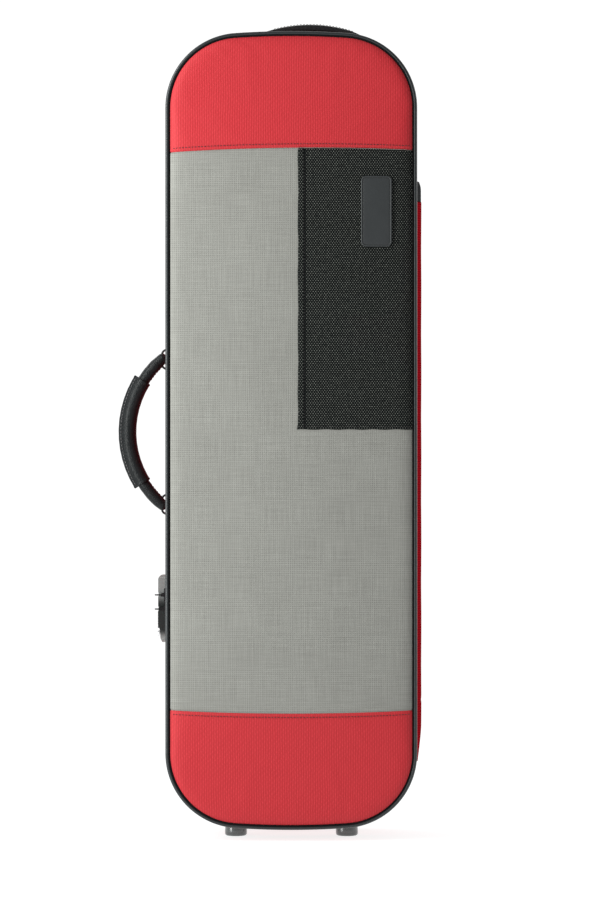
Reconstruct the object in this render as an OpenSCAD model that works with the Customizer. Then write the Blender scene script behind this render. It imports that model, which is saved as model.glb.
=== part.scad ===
// Oblong violin case: fabric-covered shells hinged on the right, zipped round the other three sides.
// Local axes while modelling: x = 0 on the middle of the width, y = 0 on the parting plane (lid towards
// -y, base towards +y), z = 0 on the floor. place() then moves every piece to the common frame.

/* [Shell] */
// Width over the piping
case_w = 246; // [236:1:270]
// Height of the shell without its feet
case_h = 780; // [765:1:830]
// Radius of the four rounded corners
corner_r = 73; // [62:1:85]
// Radius of the gentle crown of the upper and lower ends
crown_r = 800; // [600:10:1400]
// Depth of the lid, from the parting plane to the front of its piping
lid_d = 42; // [38:1:60]
// Depth of the base, from the parting plane to its back panel
base_d = 88; // [80:1:110]
// Swell of the padded front panel beyond the piping
dome_h = 8; // [4:0.5:14]
// Diameter of the piping
pipe_d = 5; // [4:0.25:6]
// How far the piping stands out from the side walls
pipe_out = 1.5; // [0.5:0.25:2]
// Thickness of the fabric covers
cover_t = 1.5; // [1:0.1:2]
// Thickness of the side walls of both cores
core_t = 8; // [6:0.5:10]
// Thickness of the back wall of the base core
back_t = 6; // [4:0.5:10]
// Thickness of the front wall of the lid core
front_t = 3.5; // [2.5:0.5:6]
// Thickness of the velvet lining
lining_t = 2; // [1:0.25:3]
// Distance from the parting plane to each rim
rim_gap = 0.4; // [0.2:0.1:1]

/* [Front panel] */
// Height of the lower end panel, from the lower end of the shell
low_panel_h = 115; // [90:1:150]
// Height of the upper end panel, from the upper end of the shell
high_panel_h = 117; // [90:1:150]
// Left edge of the mesh patch, from the middle
mesh_x = 6.5; // [-40:0.5:40]
// Length of the mesh patch below the upper seam
mesh_l = 272; // [170:1:370]
// Thickness of the mesh
mesh_t = 0.8; // [0.4:0.1:1.5]
// Width of the bare badge
badge_w = 30; // [20:1:40]
// Height of the bare badge
badge_h = 69; // [40:1:90]
// Middle of the badge across the case
badge_x = 83; // [60:1:90]
// Distance of the middle of the badge below the upper seam
badge_drop = 59.5; // [44:0.5:110]
// Radius of the corners of the badge
badge_corner_r = 5; // [3:0.5:8]
// Thickness of the badge over the mesh
badge_t = 1.8; // [1:0.1:3]

/* [Zip] */
// Half width of the zip tape on each side of the parting plane
tape_w = 10; // [8:0.5:14]
// Half width of the zip coil
coil_w = 3.2; // [2.5:0.1:4]
// How far the coil stands out from the side wall
coil_out = 2.1; // [1.5:0.1:2.5]
// Distance of the spine's upper end below the upper end of the shell
spine_top_drop = 145; // [100:1:180]
// Distance of the spine's lower end above the lower end of the shell
spine_low_rise = 65; // [60:1:100]
// Distance of the middle between the parked sliders above the lower end of the lock
sliders_rise = 42; // [40:0.5:46]
// Half distance between the two parked sliders
sliders_gap = 7; // [7:0.25:9]
// Length of the small zip pulls beyond their pivot
pull_l = 7.6; // [7:0.2:14]
// Width of the small zip pulls
pull_w = 4.8; // [4:0.2:6]

/* [Hinges and spine] */
// Radius of the hinge knuckles
knuckle_r = 2.75; // [2.4:0.05:3.5]
// Radius of the hinge pins
hinge_pin_r = 1.2; // [0.9:0.05:1.4]
// Length of each hinge
hinge_l = 60; // [40:1:80]
// Thickness of the hinge leaves
leaf_t = 1.2; // [0.8:0.1:1.4]
// Width of each hinge leaf from the axis
leaf_w = 20; // [14:0.5:24]
// Distance of the outer hinges from the ends of the spine
hinge_end_gap = 45; // [20:1:90]
// Width of each half of the fabric spine
spine_w = 26; // [23:0.5:30]
// Length of the tab that caps the upper end of the spine
tab_l = 20; // [12:1:30]

/* [Handle] */
// Middle of the side handle and of the lock behind the parting plane
handle_y = 22; // [20:0.5:30]
// Distance of the middle of the side handle below the middle of the shell
handle_drop = 1; // [0:0.5:20]
// Distance of each bail from the middle of the handle
bail_z = 72; // [66:0.5:80]
// Distance of the bail bars from the wall
bail_out = 7; // [6.9:0.1:9]
// Radius of the bail wire
bail_r = 1.1; // [0.9:0.05:1.4]
// Bending radius of the bail wire
bail_bend = 4.5; // [4:0.1:5]
// Half height of each bail
bail_h = 10.5; // [10:0.25:13]
// Distance of the middle of the strap from the wall, halfway between the bails
strap_out = 36; // [33:0.5:42]
// Half length of the leather grip
grip_half = 51; // [44:0.5:54]
// Radius of the rolled leather strap
strap_r = 6.2; // [5:0.1:6.4]
// Thickness of the leather wrapped round the grip
wrap_t = 1.4; // [1:0.1:2.5]
// Distance from the middle of the grip to its sewn outer edge
flange_out = 10.2; // [9:0.1:13]
// Thickness of the sewn outer edge
flange_t = 3.6; // [3:0.1:5]

/* [Lock] */
// Distance of the lock above the lower end of the shell
lock_rise = 179; // [150:1:220]
// Length of the lock
lock_l = 70; // [70:0.5:76]
// Width of the lock plate
lock_w = 26; // [24:0.5:30]
// Thickness of the lock plate
lock_plate_t = 1.4; // [1:0.1:1.6]
// How far the housing stands out from the wall
lock_out = 10.5; // [10.2:0.1:11]
// Radius of the number wheels
wheel_r = 4.6; // [4.4:0.05:4.8]
// Width of each number wheel
wheel_w = 5.2; // [4.5:0.1:5.4]
// Distance between neighbouring number wheels
wheel_step = 5.6; // [5.5:0.05:5.8]
// Radius of the wheel axle
axle_r = 1; // [0.7:0.05:1.2]
// Travel of the release knob
release_travel = 3; // [2:0.25:3.5]

/* [Top handle] */
// Middle of the top handle across the case
top_x = 22; // [-10:1:24]
// Free length of the top handle
top_l = 148; // [110:1:150]
// Height of the top handle over the shell
top_rise = 18; // [12:0.5:24]
// Width of the top handle strap
top_w = 24; // [18:0.5:32]
// Thickness of the top handle strap
top_t = 3; // [2:0.25:4]
// Middle of the top handle behind the parting plane
top_y = 44; // [36:1:52]

/* [Feet] */
// Height of the shell above the floor
foot_h = 11; // [8:0.5:16]
// Radius of each foot at the shell
foot_r = 10.7; // [8:0.1:13]
// Radius of the resting face of each foot
foot_face_r = 9.2; // [7:0.1:10]
// Distance of the feet from the middle of the width
foot_x = 55; // [40:1:60]
// Distance of the front feet behind the parting plane
foot_front_y = 15; // [13:0.5:22]
// Distance of the rear feet in front of the back panel
foot_rear_gap = 15; // [13:0.5:22]

/* [Violin cradle] */
// Length of the violin body
body_l = 356; // [350:1:362]
// Radius of the recess for the lower bout
lower_bout_r = 106; // [100:0.5:107]
// Radius of the recess for the upper bout
upper_bout_r = 86; // [80:0.5:92]
// Half width of the recess at the waist
waist_w = 58; // [54:0.5:64]
// Distance of the cradle surface behind the parting plane
cradle_y = 14; // [8:0.5:22]
// Gap between the violin body and the lining at its lower end
body_gap = 4; // [2:0.5:8]
// Distance of the recess floor behind the parting plane
recess_y = 62; // [56:0.5:66]
// Distance of the relieved middle of the floor behind the parting plane
relief_y = 70; // [67:0.5:74]
// Half width of the channel for the neck
neck_w = 19; // [16:0.5:24]
// Distance of the neck cradle above the violin body
neck_rise = 94; // [80:1:105]
// Length of the neck cradle
neck_l = 34; // [24:1:50]
// Half width of the neck cradle block
neck_block_w = 42; // [34:1:46]
// Distance of the neck cradle surface behind the parting plane
neck_y = 24; // [18:0.5:30]
// Width of the strap over the neck
neck_strap_w = 25; // [20:1:32]
// Thickness of the strap over the neck
neck_strap_t = 1.8; // [1:0.1:2.5]
// Height of the accessory box below the upper lining
box_h = 128; // [100:1:136]
// Wall thickness of the accessory box
box_t = 4; // [3:0.25:6]
// Distance of the rim of the accessory box behind the parting plane
box_y = 16; // [12:0.5:26]

/* [Bow holders] */
// Distance of the bows from the middle of the width
bow_x = 80; // [72:0.5:84]
// Distance of the bow spinners above the lower lining
spinner_rise = 126; // [100:1:180]
// Height of the spinner bases over the lid lining
spinner_h = 15; // [12:0.5:20]
// Radius of the foot of each spinner base
spinner_foot_r = 12; // [10:0.5:15]
// Radius of the post of each spinner base
spinner_post_r = 7.5; // [6:0.25:9]
// Length of the turning clips
clip_l = 34; // [26:1:38]
// Width of the turning clips
clip_w = 9; // [7:0.5:12]
// Thickness of the turning clips
clip_t = 4; // [3:0.25:5]
// Distance of the bow tip pockets below the upper lining
tip_drop = 42; // [36:1:60]
// Length of the bow tip pockets
tip_l = 46; // [30:1:50]
// Width inside the bow tip pockets
tip_room_w = 20; // [16:0.5:24]
// Height inside the bow tip pockets
tip_room_h = 12.5; // [10:0.5:16]
// Thickness of the cloth of the bow tip pockets
tip_cloth_t = 2.5; // [1.5:0.25:3]

/* [Back] */
// Width of the music pocket
pocket_w = 188; // [150:1:200]
// Distance of the music pocket above the lower end of the shell
pocket_rise = 101; // [95:1:150]
// Distance of the music pocket below the upper end of the shell
pocket_drop = 119; // [100:1:230]
// Thickness of the music pocket
pocket_t = 9; // [6:0.5:14]
// Radius of the corners of the music pocket
pocket_corner_r = 22; // [16:1:30]
// Distance of the pocket zip below the upper edge of the pocket
pocket_zip_drop = 26; // [20:1:40]
// Length of the pocket pull beyond its pivot
pocket_pull_l = 20; // [14:0.5:26]
// Width of the pocket pull
pocket_pull_w = 8; // [6:0.5:12]
// Radius of the D-ring wire
ring_wire_r = 1.6; // [1.2:0.05:2]
// Radius of the D-rings along the middle of the wire
ring_r = 13; // [11:0.25:15]
// Distance of the upper D-rings from the middle of the width
ring_high_x = 56; // [40:1:64]
// Distance of the upper D-ring bars below the upper end of the shell
ring_drop = 55; // [49:1:76]
// Distance of the lower D-rings from the middle of the width
ring_low_x = 70; // [50:1:76]
// Distance of the lower D-ring bars above the lower end of the shell
ring_rise = 51; // [45:1:55]
// Thickness of the folded webbing that holds the D-rings
webbing_t = 2; // [1.5:0.1:2.5]
// Length of webbing sewn flat to the back
webbing_l = 26; // [18:1:34]

/* [Hidden] */
$fn = 72;

// Clearances: a pin in its bore, pieces that move past each other, and a hairline between neighbours.
pin_gap = 0.05;
run_gap = 0.4;
hair = 0.1;
beyond = 60;            // overshoot of cutting solids

// Outline: corner circles joined by crown arcs of the two ends.
half_w = case_w / 2;
corner_x = half_w - corner_r;
crown_dz = sqrt(pow(crown_r - corner_r, 2) - pow(corner_x, 2));
crown_angle = asin(corner_x / (crown_r - corner_r));
shell_top = foot_h + case_h;
corner_low = foot_h + crown_r - crown_dz;
corner_high = shell_top - crown_r + crown_dz;
mid_z = foot_h + case_h / 2;

// Heights of what is placed from the ends of the shell.
seam_low_z = foot_h + low_panel_h;
seam_high_z = shell_top - high_panel_h;
mesh_z = seam_high_z - mesh_l;
badge_z = seam_high_z - badge_drop;
zip_top_z = shell_top - spine_top_drop;
zip_low_z = foot_h + spine_low_rise;
handle_z = mid_z - handle_drop;
lock_z = foot_h + lock_rise;
sliders_z = lock_z + sliders_rise;
pocket_low_z = foot_h + pocket_rise;
pocket_high_z = shell_top - pocket_drop;
ring_high_z = shell_top - ring_drop;
ring_low_z = foot_h + ring_rise;

// Layers, as insets from the outline over the piping.
cover_in = pipe_out;
core_in = cover_in + cover_t;
lining_in = core_in + core_t;
room_in = lining_in + lining_t;
panel_in = pipe_d;
wall_x = half_w - cover_in;
room_low = foot_h + room_in;
room_high = shell_top - room_in;

// Levels behind the parting plane.
back_core_y = base_d - cover_t;
back_lining_y = back_core_y - back_t;
floor_y = back_lining_y - lining_t;
front_core_y = -(lid_d - cover_t);
front_lining_y = front_core_y + front_t;
lid_floor_y = front_lining_y + lining_t;

// Hinge axis: the knuckles lie on the outside of the right wall.
axis_x = wall_x + knuckle_r + hair;
knuckle_n = 5;
spine_gap = 2.4;
spine_start = knuckle_r + spine_gap;
hinge_mid_z = (zip_low_z + zip_top_z - tab_l) / 2;
hinge_step = (zip_top_z - tab_l - zip_low_z - hinge_l) / 2 - hinge_end_gap;

// Handle: one arc through both bail bars and the middle of the strap.
strap_rise = strap_out - bail_out;
strap_arc_r = (pow(bail_z, 2) + pow(strap_rise, 2)) / (2 * strap_rise);
strap_angle = asin(bail_z / strap_arc_r);
grip_angle = asin(grip_half / strap_arc_r);
arc_out = strap_out - strap_arc_r;
grip_r = strap_r + wrap_t;
handle_reach = strap_out + flange_out;

// Zip parts: slider plate, the lugs that carry the pull's pin, and the coils.
slider_plate_t = 1.5;
lug_r = 1.8;
lug_t = 1.2;
lug_y = 3.2;
pull_pin_r = 0.8;
pocket_tape_t = 1;
pocket_coil_out = 1.6;
slider_eye = coil_out + run_gap + slider_plate_t + lug_r;
pocket_eye_out = pocket_coil_out + run_gap + slider_plate_t + lug_r;

// Whole extent, for the common frame.
low_x = -wall_x - handle_reach;
high_x = axis_x + knuckle_r;
low_y = -(lid_d + dome_h) - mesh_t;
high_y = base_d + pocket_t + pocket_tape_t + pocket_eye_out + lug_r;
mid_x = (low_x + high_x) / 2;
mid_y = (low_y + high_y) / 2;

// Moves a locally modelled piece into the common frame.
module place() {
    translate([-mid_x, -mid_y, 0]) children();
}

// Box between two corners.
module block(low, high) {
    translate(low) cube(high - low);
}

// One crowned end with its two corners, as a flat outline.
module end_outline(inset) {
    reach = (crown_r + corner_r) / (crown_r - corner_r);
    for (side = [-1, 1]) {
        translate([side * corner_x, corner_high]) circle(corner_r - inset);
    }
    intersection() {
        translate([0, shell_top - crown_r]) circle(crown_r - inset, $fn = 720);
        polygon([[-corner_x, corner_high],
                 [-corner_x * reach, corner_high + crown_dz * (reach - 1)],
                 [corner_x * reach, corner_high + crown_dz * (reach - 1)],
                 [corner_x, corner_high]]);
    }
}

// Outline of the case at an inset from the piping.
module outline(inset) {
    end_outline(inset);
    translate([0, 2 * mid_z]) mirror([0, 1]) end_outline(inset);
    translate([inset - half_w, corner_low]) square([case_w - 2 * inset, corner_high - corner_low]);
}

// The outline made solid between two depths.
module slab(inset, y0, y1) {
    translate([0, y1, 0]) rotate([90, 0, 0]) linear_extrude(y1 - y0) outline(inset);
}

// The part of a ring that the zip runs along: all but the hinge side between the zip's ends.
module zip_side(y0, y1) {
    difference() {
        block([-half_w - beyond, y0, -beyond], [half_w + beyond, y1, shell_top + beyond]);
        block([corner_x, y0 - 1, zip_low_z], [half_w + 2 * beyond, y1 + 1, zip_top_z]);
    }
}

// Places along one arc of the piping: centre, radius and angle of each ring of points.
function arc_rings(x, z, radius, start, end, steps) =
    [for (i = [0 : steps]) [x, z, radius, start + (end - start) * i / steps]];

// Rings along the whole outline, anticlockwise from the right wall; each arc hands over to the next.
function outline_rings(inset) = let (
        r = corner_r - inset, crown = crown_r - inset, top = shell_top - crown_r,
        low = foot_h + crown_r, a = crown_angle, corner_steps = 24, crown_steps = 10,
        skip_first = function(list) [for (i = [1 : len(list) - 1]) list[i]])
    concat(arc_rings(corner_x, corner_high, r, 0, 90 - a, corner_steps),
           skip_first(arc_rings(0, top, crown, 90 - a, 90 + a, crown_steps)),
           skip_first(arc_rings(-corner_x, corner_high, r, 90 + a, 180, corner_steps)),
           arc_rings(-corner_x, corner_low, r, 180, 270 - a, corner_steps),
           skip_first(arc_rings(0, low, crown, 270 - a, 270 + a, crown_steps)),
           skip_first(arc_rings(corner_x, corner_low, r, 270 + a, 360, corner_steps)));

// Complete ring of piping at a depth: a round cord swept along the outline.
module piping(y) {
    sides = 12;
    rings = outline_rings(pipe_d / 2);
    n = len(rings);
    points = [for (g = rings, j = [0 : sides - 1]) let (
                  b = 360 * j / sides, out = g[2] + pipe_d / 2 * cos(b))
              [g[0] + out * cos(g[3]), y + pipe_d / 2 * sin(b), g[1] + out * sin(g[3])]];
    faces = [for (i = [0 : n - 1], j = [0 : sides - 1]) let (
                 i2 = (i + 1) % n, j2 = (j + 1) % sides)
             [i * sides + j, i * sides + j2, i2 * sides + j2, i2 * sides + j]];
    polyhedron(points, faces);
}

// Core shell: side wall stepped in behind the piping.
module core_shell(rim, edge, outer_face) {
    slab(core_in, min(rim, edge), max(rim, edge));
    slab(panel_in, min(edge, outer_face), max(edge, outer_face));
}

// Puts a piece on the handle side: x outwards from the wall, y backwards, z up.
module on_handle_side(y, z) {
    translate([-wall_x, y, z]) mirror([1, 0, 0]) children();
}

// ---- base shell ----

module base_core() {
    color("burlywood") place() difference() {
        core_shell(rim_gap, base_d - pipe_d, back_core_y);
        slab(lining_in, -beyond, back_lining_y);
    }
}

module base_cover() {
    color("dimgray") place() difference() {
        slab(cover_in, rim_gap, base_d - pipe_d);
        slab(core_in, -beyond, base_d);
        zip_side(-beyond, tape_w);
    }
}

module back_panel() {
    color("darkgray") place() slab(panel_in, back_core_y, base_d);
}

module back_piping() {
    color("#303234") place() piping(base_d - pipe_d / 2);
}

module base_lining() {
    color("#5a1e26") place() difference() {
        slab(lining_in, rim_gap, back_lining_y);
        slab(room_in, -beyond, floor_y);
    }
}

// ---- interior of the base ----

body_low = room_low + body_gap;
lower_bout_z = body_low + lower_bout_r;
upper_bout_z = body_low + body_l - upper_bout_r;
cradle_end_t = 22;
cradle_top = body_low + body_l + cradle_end_t;
lower_corner_share = 0.55;
upper_corner_share = 0.45;
waist_z = (lower_bout_z + lower_bout_r * lower_corner_share
    + upper_bout_z - upper_bout_r * upper_corner_share) / 2;
waist_half_l = 42;

// Outline of the violin body: two bouts, and a waist with its four corners.
module violin_outline() {
    translate([0, lower_bout_z]) circle(lower_bout_r);
    translate([0, upper_bout_z]) circle(upper_bout_r);
    translate([-waist_w, waist_z - waist_half_l]) square([2 * waist_w, 2 * waist_half_l]);
}

// Sinks a flat x-z outline into the base between two depths.
module sink(y0, y1) {
    translate([0, y1, 0]) rotate([90, 0, 0]) linear_extrude(y1 - y0) children();
}

// Rounded rectangle between two corners.
module rounded(low, high, r) {
    for (x = [low[0] + r, high[0] - r], y = [low[1] + r, high[1] - r]) {
        translate([x, y]) circle(r, $fn = 32);
    }
    translate([low[0] + r, low[1]]) square([high[0] - low[0] - 2 * r, high[1] - low[1]]);
    translate([low[0], low[1] + r]) square([high[0] - low[0], high[1] - low[1] - 2 * r]);
}

module body_cradle() {
    relief_w = waist_w - 8;
    relief_low = lower_bout_z - 40;
    relief_high = upper_bout_z + 30;
    heel_w = neck_w + 6;
    heel_y = neck_y + 14;
    color("#6d2530") place() difference() {
        intersection() {
            slab(room_in, cradle_y, floor_y);
            block([-half_w, 0, 0], [half_w, base_d, cradle_top]);
        }
        sink(-beyond, recess_y) violin_outline();
        sink(0, relief_y) rounded([-relief_w, relief_low], [relief_w, relief_high], 20);
        block([-heel_w, -beyond, upper_bout_z], [heel_w, heel_y, cradle_top + 1]);
    }
}

neck_z = body_low + body_l + neck_rise;

module neck_cradle() {
    color("#6d2530") place() difference() {
        translate([0, 0, neck_z]) linear_extrude(neck_l)
            translate([-neck_block_w, neck_y]) square([2 * neck_block_w, floor_y - neck_y]);
        translate([0, neck_y + neck_w, neck_z - 1]) cylinder(r = neck_w, h = neck_l + 2);
        block([-neck_w, 0, neck_z - 1], [neck_w, neck_y + neck_w, neck_z + neck_l + 1]);
    }
}

// Hook-and-loop strap over the neck: it lies on the block and is sewn down one side.
module neck_strap() {
    sewn_l = 30;
    color("black") place() translate([0, 0, neck_z + (neck_l - neck_strap_w) / 2])
        linear_extrude(neck_strap_w) {
            translate([-neck_block_w, neck_y - neck_strap_t])
                square([2 * neck_block_w + neck_strap_t, neck_strap_t]);
            translate([neck_block_w, neck_y - neck_strap_t]) square([neck_strap_t, sewn_l]);
        }
}

box_z = room_high - box_h;

module accessory_box() {
    color("#6d2530") place() difference() {
        intersection() {
            slab(room_in, box_y, floor_y);
            block([-half_w, 0, box_z], [half_w, base_d, shell_top]);
        }
        intersection() {
            slab(room_in + box_t, 0, floor_y - box_t);
            block([-half_w, 0, box_z + box_t], [half_w, base_d, shell_top]);
        }
    }
}

// ---- hinges and spine ----

// Heights of the lower ends of the three hinges.
hinge_lows = [for (i = [-1, 0, 1]) hinge_mid_z + i * hinge_step - hinge_l / 2];
knuckle_l = hinge_l / knuckle_n;
knuckle_gap = 0.15;

// One hinge half: leaf on the wall and every second knuckle. side +1 is the base, -1 the lid.
module hinge_half(side, first) {
    clear_r = knuckle_r + run_gap;
    difference() {
        union() {
            translate([wall_x, side > 0 ? 0 : -leaf_w, 0]) cube([leaf_t, leaf_w, hinge_l]);
            for (i = [first : 2 : knuckle_n - 1]) {
                translate([axis_x, 0, i * knuckle_l + (i > 0 ? knuckle_gap : 0)])
                    cylinder(r = knuckle_r, h = knuckle_l - knuckle_gap
                        - (i > 0 && i < knuckle_n - 1 ? knuckle_gap : 0), $fn = 48);
            }
        }
        for (i = [1 - first : 2 : knuckle_n - 1]) {
            translate([axis_x - clear_r, -clear_r, i * knuckle_l - knuckle_gap])
                cube([2 * clear_r, 2 * clear_r, knuckle_l + 2 * knuckle_gap]);
        }
        translate([axis_x, 0, -1]) cylinder(r = hinge_pin_r + pin_gap, h = hinge_l + 2, $fn = 32);
    }
}

module hinge_base_leaves() {
    color("gray") place() for (z = hinge_lows) translate([0, 0, z]) hinge_half(1, 0);
}

module hinge_lid_leaves() {
    color("gray") place() for (z = hinge_lows) translate([0, 0, z]) hinge_half(-1, 1);
}

module hinge_pins() {
    color("silver") place() for (z = hinge_lows) {
        translate([axis_x, 0, z]) cylinder(r = hinge_pin_r, h = hinge_l, $fn = 32);
    }
}

// Padded fabric band over the leaves, thick beside the knuckles and feathered to the wall.
module spine_band(z0, z1) {
    nose_x = axis_x + knuckle_r * 0.7;
    nose_l = 3;
    nose_drop = knuckle_r * 0.15;
    over_leaf_t = 1.2;
    hem_t = 0.8;
    hem_l = 5;
    difference() {
        translate([0, 0, z0]) linear_extrude(z1 - z0)
            polygon([[wall_x, spine_start], [nose_x, spine_start],
                     [nose_x - nose_drop, spine_start + nose_l],
                     [wall_x + leaf_t + over_leaf_t, spine_w - hem_l],
                     [wall_x + hem_t, spine_w], [wall_x, spine_w]]);
        for (z = hinge_lows) {
            block([wall_x - 1, 0, z - hair], [wall_x + leaf_t + hair, leaf_w + hair, z + hinge_l + hair]);
        }
    }
}

module spine_base_band() {
    color("firebrick") place() spine_band(zip_low_z, zip_top_z - tab_l);
}

module spine_lid_band() {
    color("firebrick") place() mirror([0, 1, 0]) spine_band(zip_low_z, zip_top_z - tab_l);
}

module spine_end_tab() {
    color("black") place() spine_band(zip_top_z - tab_l, zip_top_z);
}

// ---- zip ----

// Half of the zip: tape let in between the covers, and the coil along its edge.
module zip_half() {
    intersection() {
        union() {
            difference() {
                slab(cover_in + 0.4, coil_w / 2, tape_w);
                slab(core_in, -beyond, beyond);
            }
            difference() {
                slab(cover_in - coil_out, rim_gap / 2, coil_w);
                slab(core_in - 0.4, -beyond, beyond);
            }
        }
        zip_side(-beyond, beyond);
    }
}

module zip_base_half() {
    color("#1c1d1f") place() zip_half();
}

module zip_lid_half() {
    color("#1c1d1f") place() mirror([0, 1, 0]) zip_half();
}

pull_t = 1.3;
slider_w = 5.5;
slider_l = 6.5;
slider_shoulder = 1;
slider_nose_w = 3.7;

// Slider over a coil that stands `out` from the surface: z along the zip, wide end at -z.
module slider(out, guard) {
    plate = out + run_gap;
    eye = plate + slider_plate_t + lug_r;
    difference() {
        union() {
            translate([plate, 0, 0]) rotate([90, 0, 90]) linear_extrude(slider_plate_t)
                polygon([[-slider_w, -slider_l], [slider_w, -slider_l], [slider_w, slider_shoulder],
                         [slider_nose_w, slider_l], [-slider_nose_w, slider_l],
                         [-slider_w, slider_shoulder]]);
            block([guard, coil_w + run_gap, -slider_l], [plate, slider_w, slider_shoulder]);
            for (side = [-1, 1]) {
                translate([eye, side * lug_y, 0]) rotate([90, 0, 0])
                    cylinder(r = lug_r, h = lug_t, center = true, $fn = 32);
                translate([plate, side * lug_y - lug_t / 2, -lug_r])
                    cube([eye - plate, lug_t, 2 * lug_r]);
            }
        }
        translate([eye, 0, 0]) rotate([90, 0, 0])
            cylinder(r = pull_pin_r, h = 20, center = true, $fn = 32);
    }
    translate([eye, 0, 0]) rotate([90, 0, 0])
        cylinder(r = pull_pin_r, h = 2 * lug_y + lug_t, center = true, $fn = 32);
}

// Pull turning on the slider's pin, standing straight out along x from its eye.
module pull(eye, length, blade_w) {
    barrel_r = 1.5;
    barrel_w = lug_y - lug_t / 2 - 0.3;
    blade_start = lug_r + 0.6;
    finger_hole_r = 0.4 * blade_w;
    difference() {
        union() {
            translate([eye, 0, -pull_t / 2]) linear_extrude(pull_t) {
                translate([0, -barrel_w]) square([blade_start + 0.4, 2 * barrel_w]);
                translate([blade_start, -blade_w])
                    square([length - blade_start - blade_w, 2 * blade_w]);
                translate([length - blade_w, 0]) circle(blade_w, $fn = 32);
            }
            translate([eye, 0, 0]) rotate([90, 0, 0])
                cylinder(r = barrel_r, h = 2 * barrel_w, center = true, $fn = 32);
        }
        translate([eye + length - blade_w, 0, -pull_t]) cylinder(r = finger_hole_r, h = 2 * pull_t, $fn = 24);
        translate([eye, 0, 0]) rotate([90, 0, 0])
            cylinder(r = pull_pin_r + pin_gap, h = 3 * barrel_w, center = true, $fn = 32);
    }
}

module zip_slider_upper() {
    color("#2b2c2e") place() on_handle_side(0, sliders_z + sliders_gap) slider(coil_out, 0);
}

module zip_slider_lower() {
    color("#2b2c2e") place() on_handle_side(0, sliders_z - sliders_gap) mirror([0, 0, 1]) slider(coil_out, 0);
}

module zip_pull_upper() {
    color("black") place() on_handle_side(0, sliders_z + sliders_gap) pull(slider_eye, pull_l, pull_w / 2);
}

module zip_pull_lower() {
    color("black") place() on_handle_side(0, sliders_z - sliders_gap) pull(slider_eye, pull_l, pull_w / 2);
}

// ---- lock ----

lock_margin = 1.5;
lock_body_l = lock_l - 2 * lock_margin;
lock_body_w = lock_w / 2 - 2;
wheels_z = 22;
wheel_proud = 0.7;
wheel_out = lock_out + wheel_proud - wheel_r;
wheel_room = wheel_r + 0.5;
wheels_room_l = 1.5 * wheel_step + 0.3;
axle_end = 3;
slot_w = 4;
slot_floor = 4;
knob_z = 8.5;
knob_r = 2.9;
stem_r = 1.5;
stem_low = 5.8;
track_low = 5.6;
plate_corner_r = 6;
housing_corner_r = 5;

// Silhouette of the lock seen along y: rounded upper end, raised round the wheels, low lower end.
module lock_profile() {
    end_r = 5;
    toe = [[0, 0], [6.4, 0], [8.2, 4], [8.6, 11]];
    ramp_end = wheels_z - 3;
    polygon(concat(toe, [[lock_out, ramp_end]],
        [for (a = [0 : 10 : 90])
            [lock_out - end_r + end_r * cos(a), lock_body_l - end_r + end_r * sin(a)]],
        [[0, lock_body_l]]));
}

module lock_plate() {
    color("silver") place() on_handle_side(handle_y, lock_z) rotate([90, 0, 90])
        linear_extrude(lock_plate_t)
            rounded([-lock_w / 2, 0], [lock_w / 2, lock_l], plate_corner_r);
}

module lock_housing() {
    room = wheels_room_l;
    color("#3a3c3f") place() on_handle_side(handle_y, lock_z + lock_margin) difference() {
        intersection() {
            translate([0, lock_body_w, 0]) rotate([90, 0, 0]) linear_extrude(2 * lock_body_w) lock_profile();
            translate([lock_plate_t, 0, 0]) rotate([90, 0, 90]) linear_extrude(lock_out)
                rounded([-lock_body_w, 0], [lock_body_w, lock_body_l], housing_corner_r);
        }
        block([lock_plate_t + hair, -wheel_room, wheels_z - room],
              [lock_out + 1, wheel_room, wheels_z + room]);
        translate([wheel_out, 0, wheels_z - room - axle_end])
            cylinder(r = axle_r + pin_gap, h = 2 * (room + axle_end), $fn = 32);
        for (z = [sliders_rise - sliders_gap, sliders_rise + sliders_gap]) {
            block([slot_floor, -lock_body_w - 1, z - lock_margin - slot_w / 2],
                  [lock_out + 1, -1, z - lock_margin + slot_w / 2]);
        }
        block([track_low, -stem_r - 0.3, knob_z - stem_r - 0.3 - release_travel],
              [lock_out + 1, stem_r + 0.3, knob_z + stem_r + 0.3]);
    }
}

module lock_axle() {
    half_l = wheels_room_l + axle_end - hair;
    color("silver") place() on_handle_side(handle_y, lock_z + lock_margin)
        translate([wheel_out, 0, wheels_z - half_l]) cylinder(r = axle_r, h = 2 * half_l, $fn = 32);
}

// Number wheel: ten flats between ten finger notches.
module number_wheel(i) {
    notch_r = 0.55;
    color("gainsboro") place() on_handle_side(handle_y, lock_z + lock_margin)
        translate([wheel_out, 0, wheels_z + (i - 2) * wheel_step - wheel_w / 2]) difference() {
            cylinder(r = wheel_r, h = wheel_w, $fn = 60);
            translate([0, 0, -1]) cylinder(r = axle_r + pin_gap, h = wheel_w + 2, $fn = 32);
            for (a = [18 : 36 : 342]) {
                rotate(a) translate([wheel_r + 0.1, 0, -1]) cylinder(r = notch_r, h = wheel_w + 2, $fn = 16);
            }
        }
}

module lock_release() {
    head_low = 9.1;
    head_rim = 10.6;
    head_top = 12.4;
    color("silver") place() on_handle_side(handle_y, lock_z + lock_margin) translate([0, 0, knob_z])
        rotate([0, 90, 0]) rotate_extrude($fn = 48)
            polygon([[0, stem_low], [stem_r, stem_low], [stem_r, head_low], [knob_r, head_low],
                     [knob_r, head_rim], [knob_r - 0.5, head_rim + 1],
                     [knob_r - 1.3, head_top - 0.2], [0, head_top]]);
}

// ---- side handle ----

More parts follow.
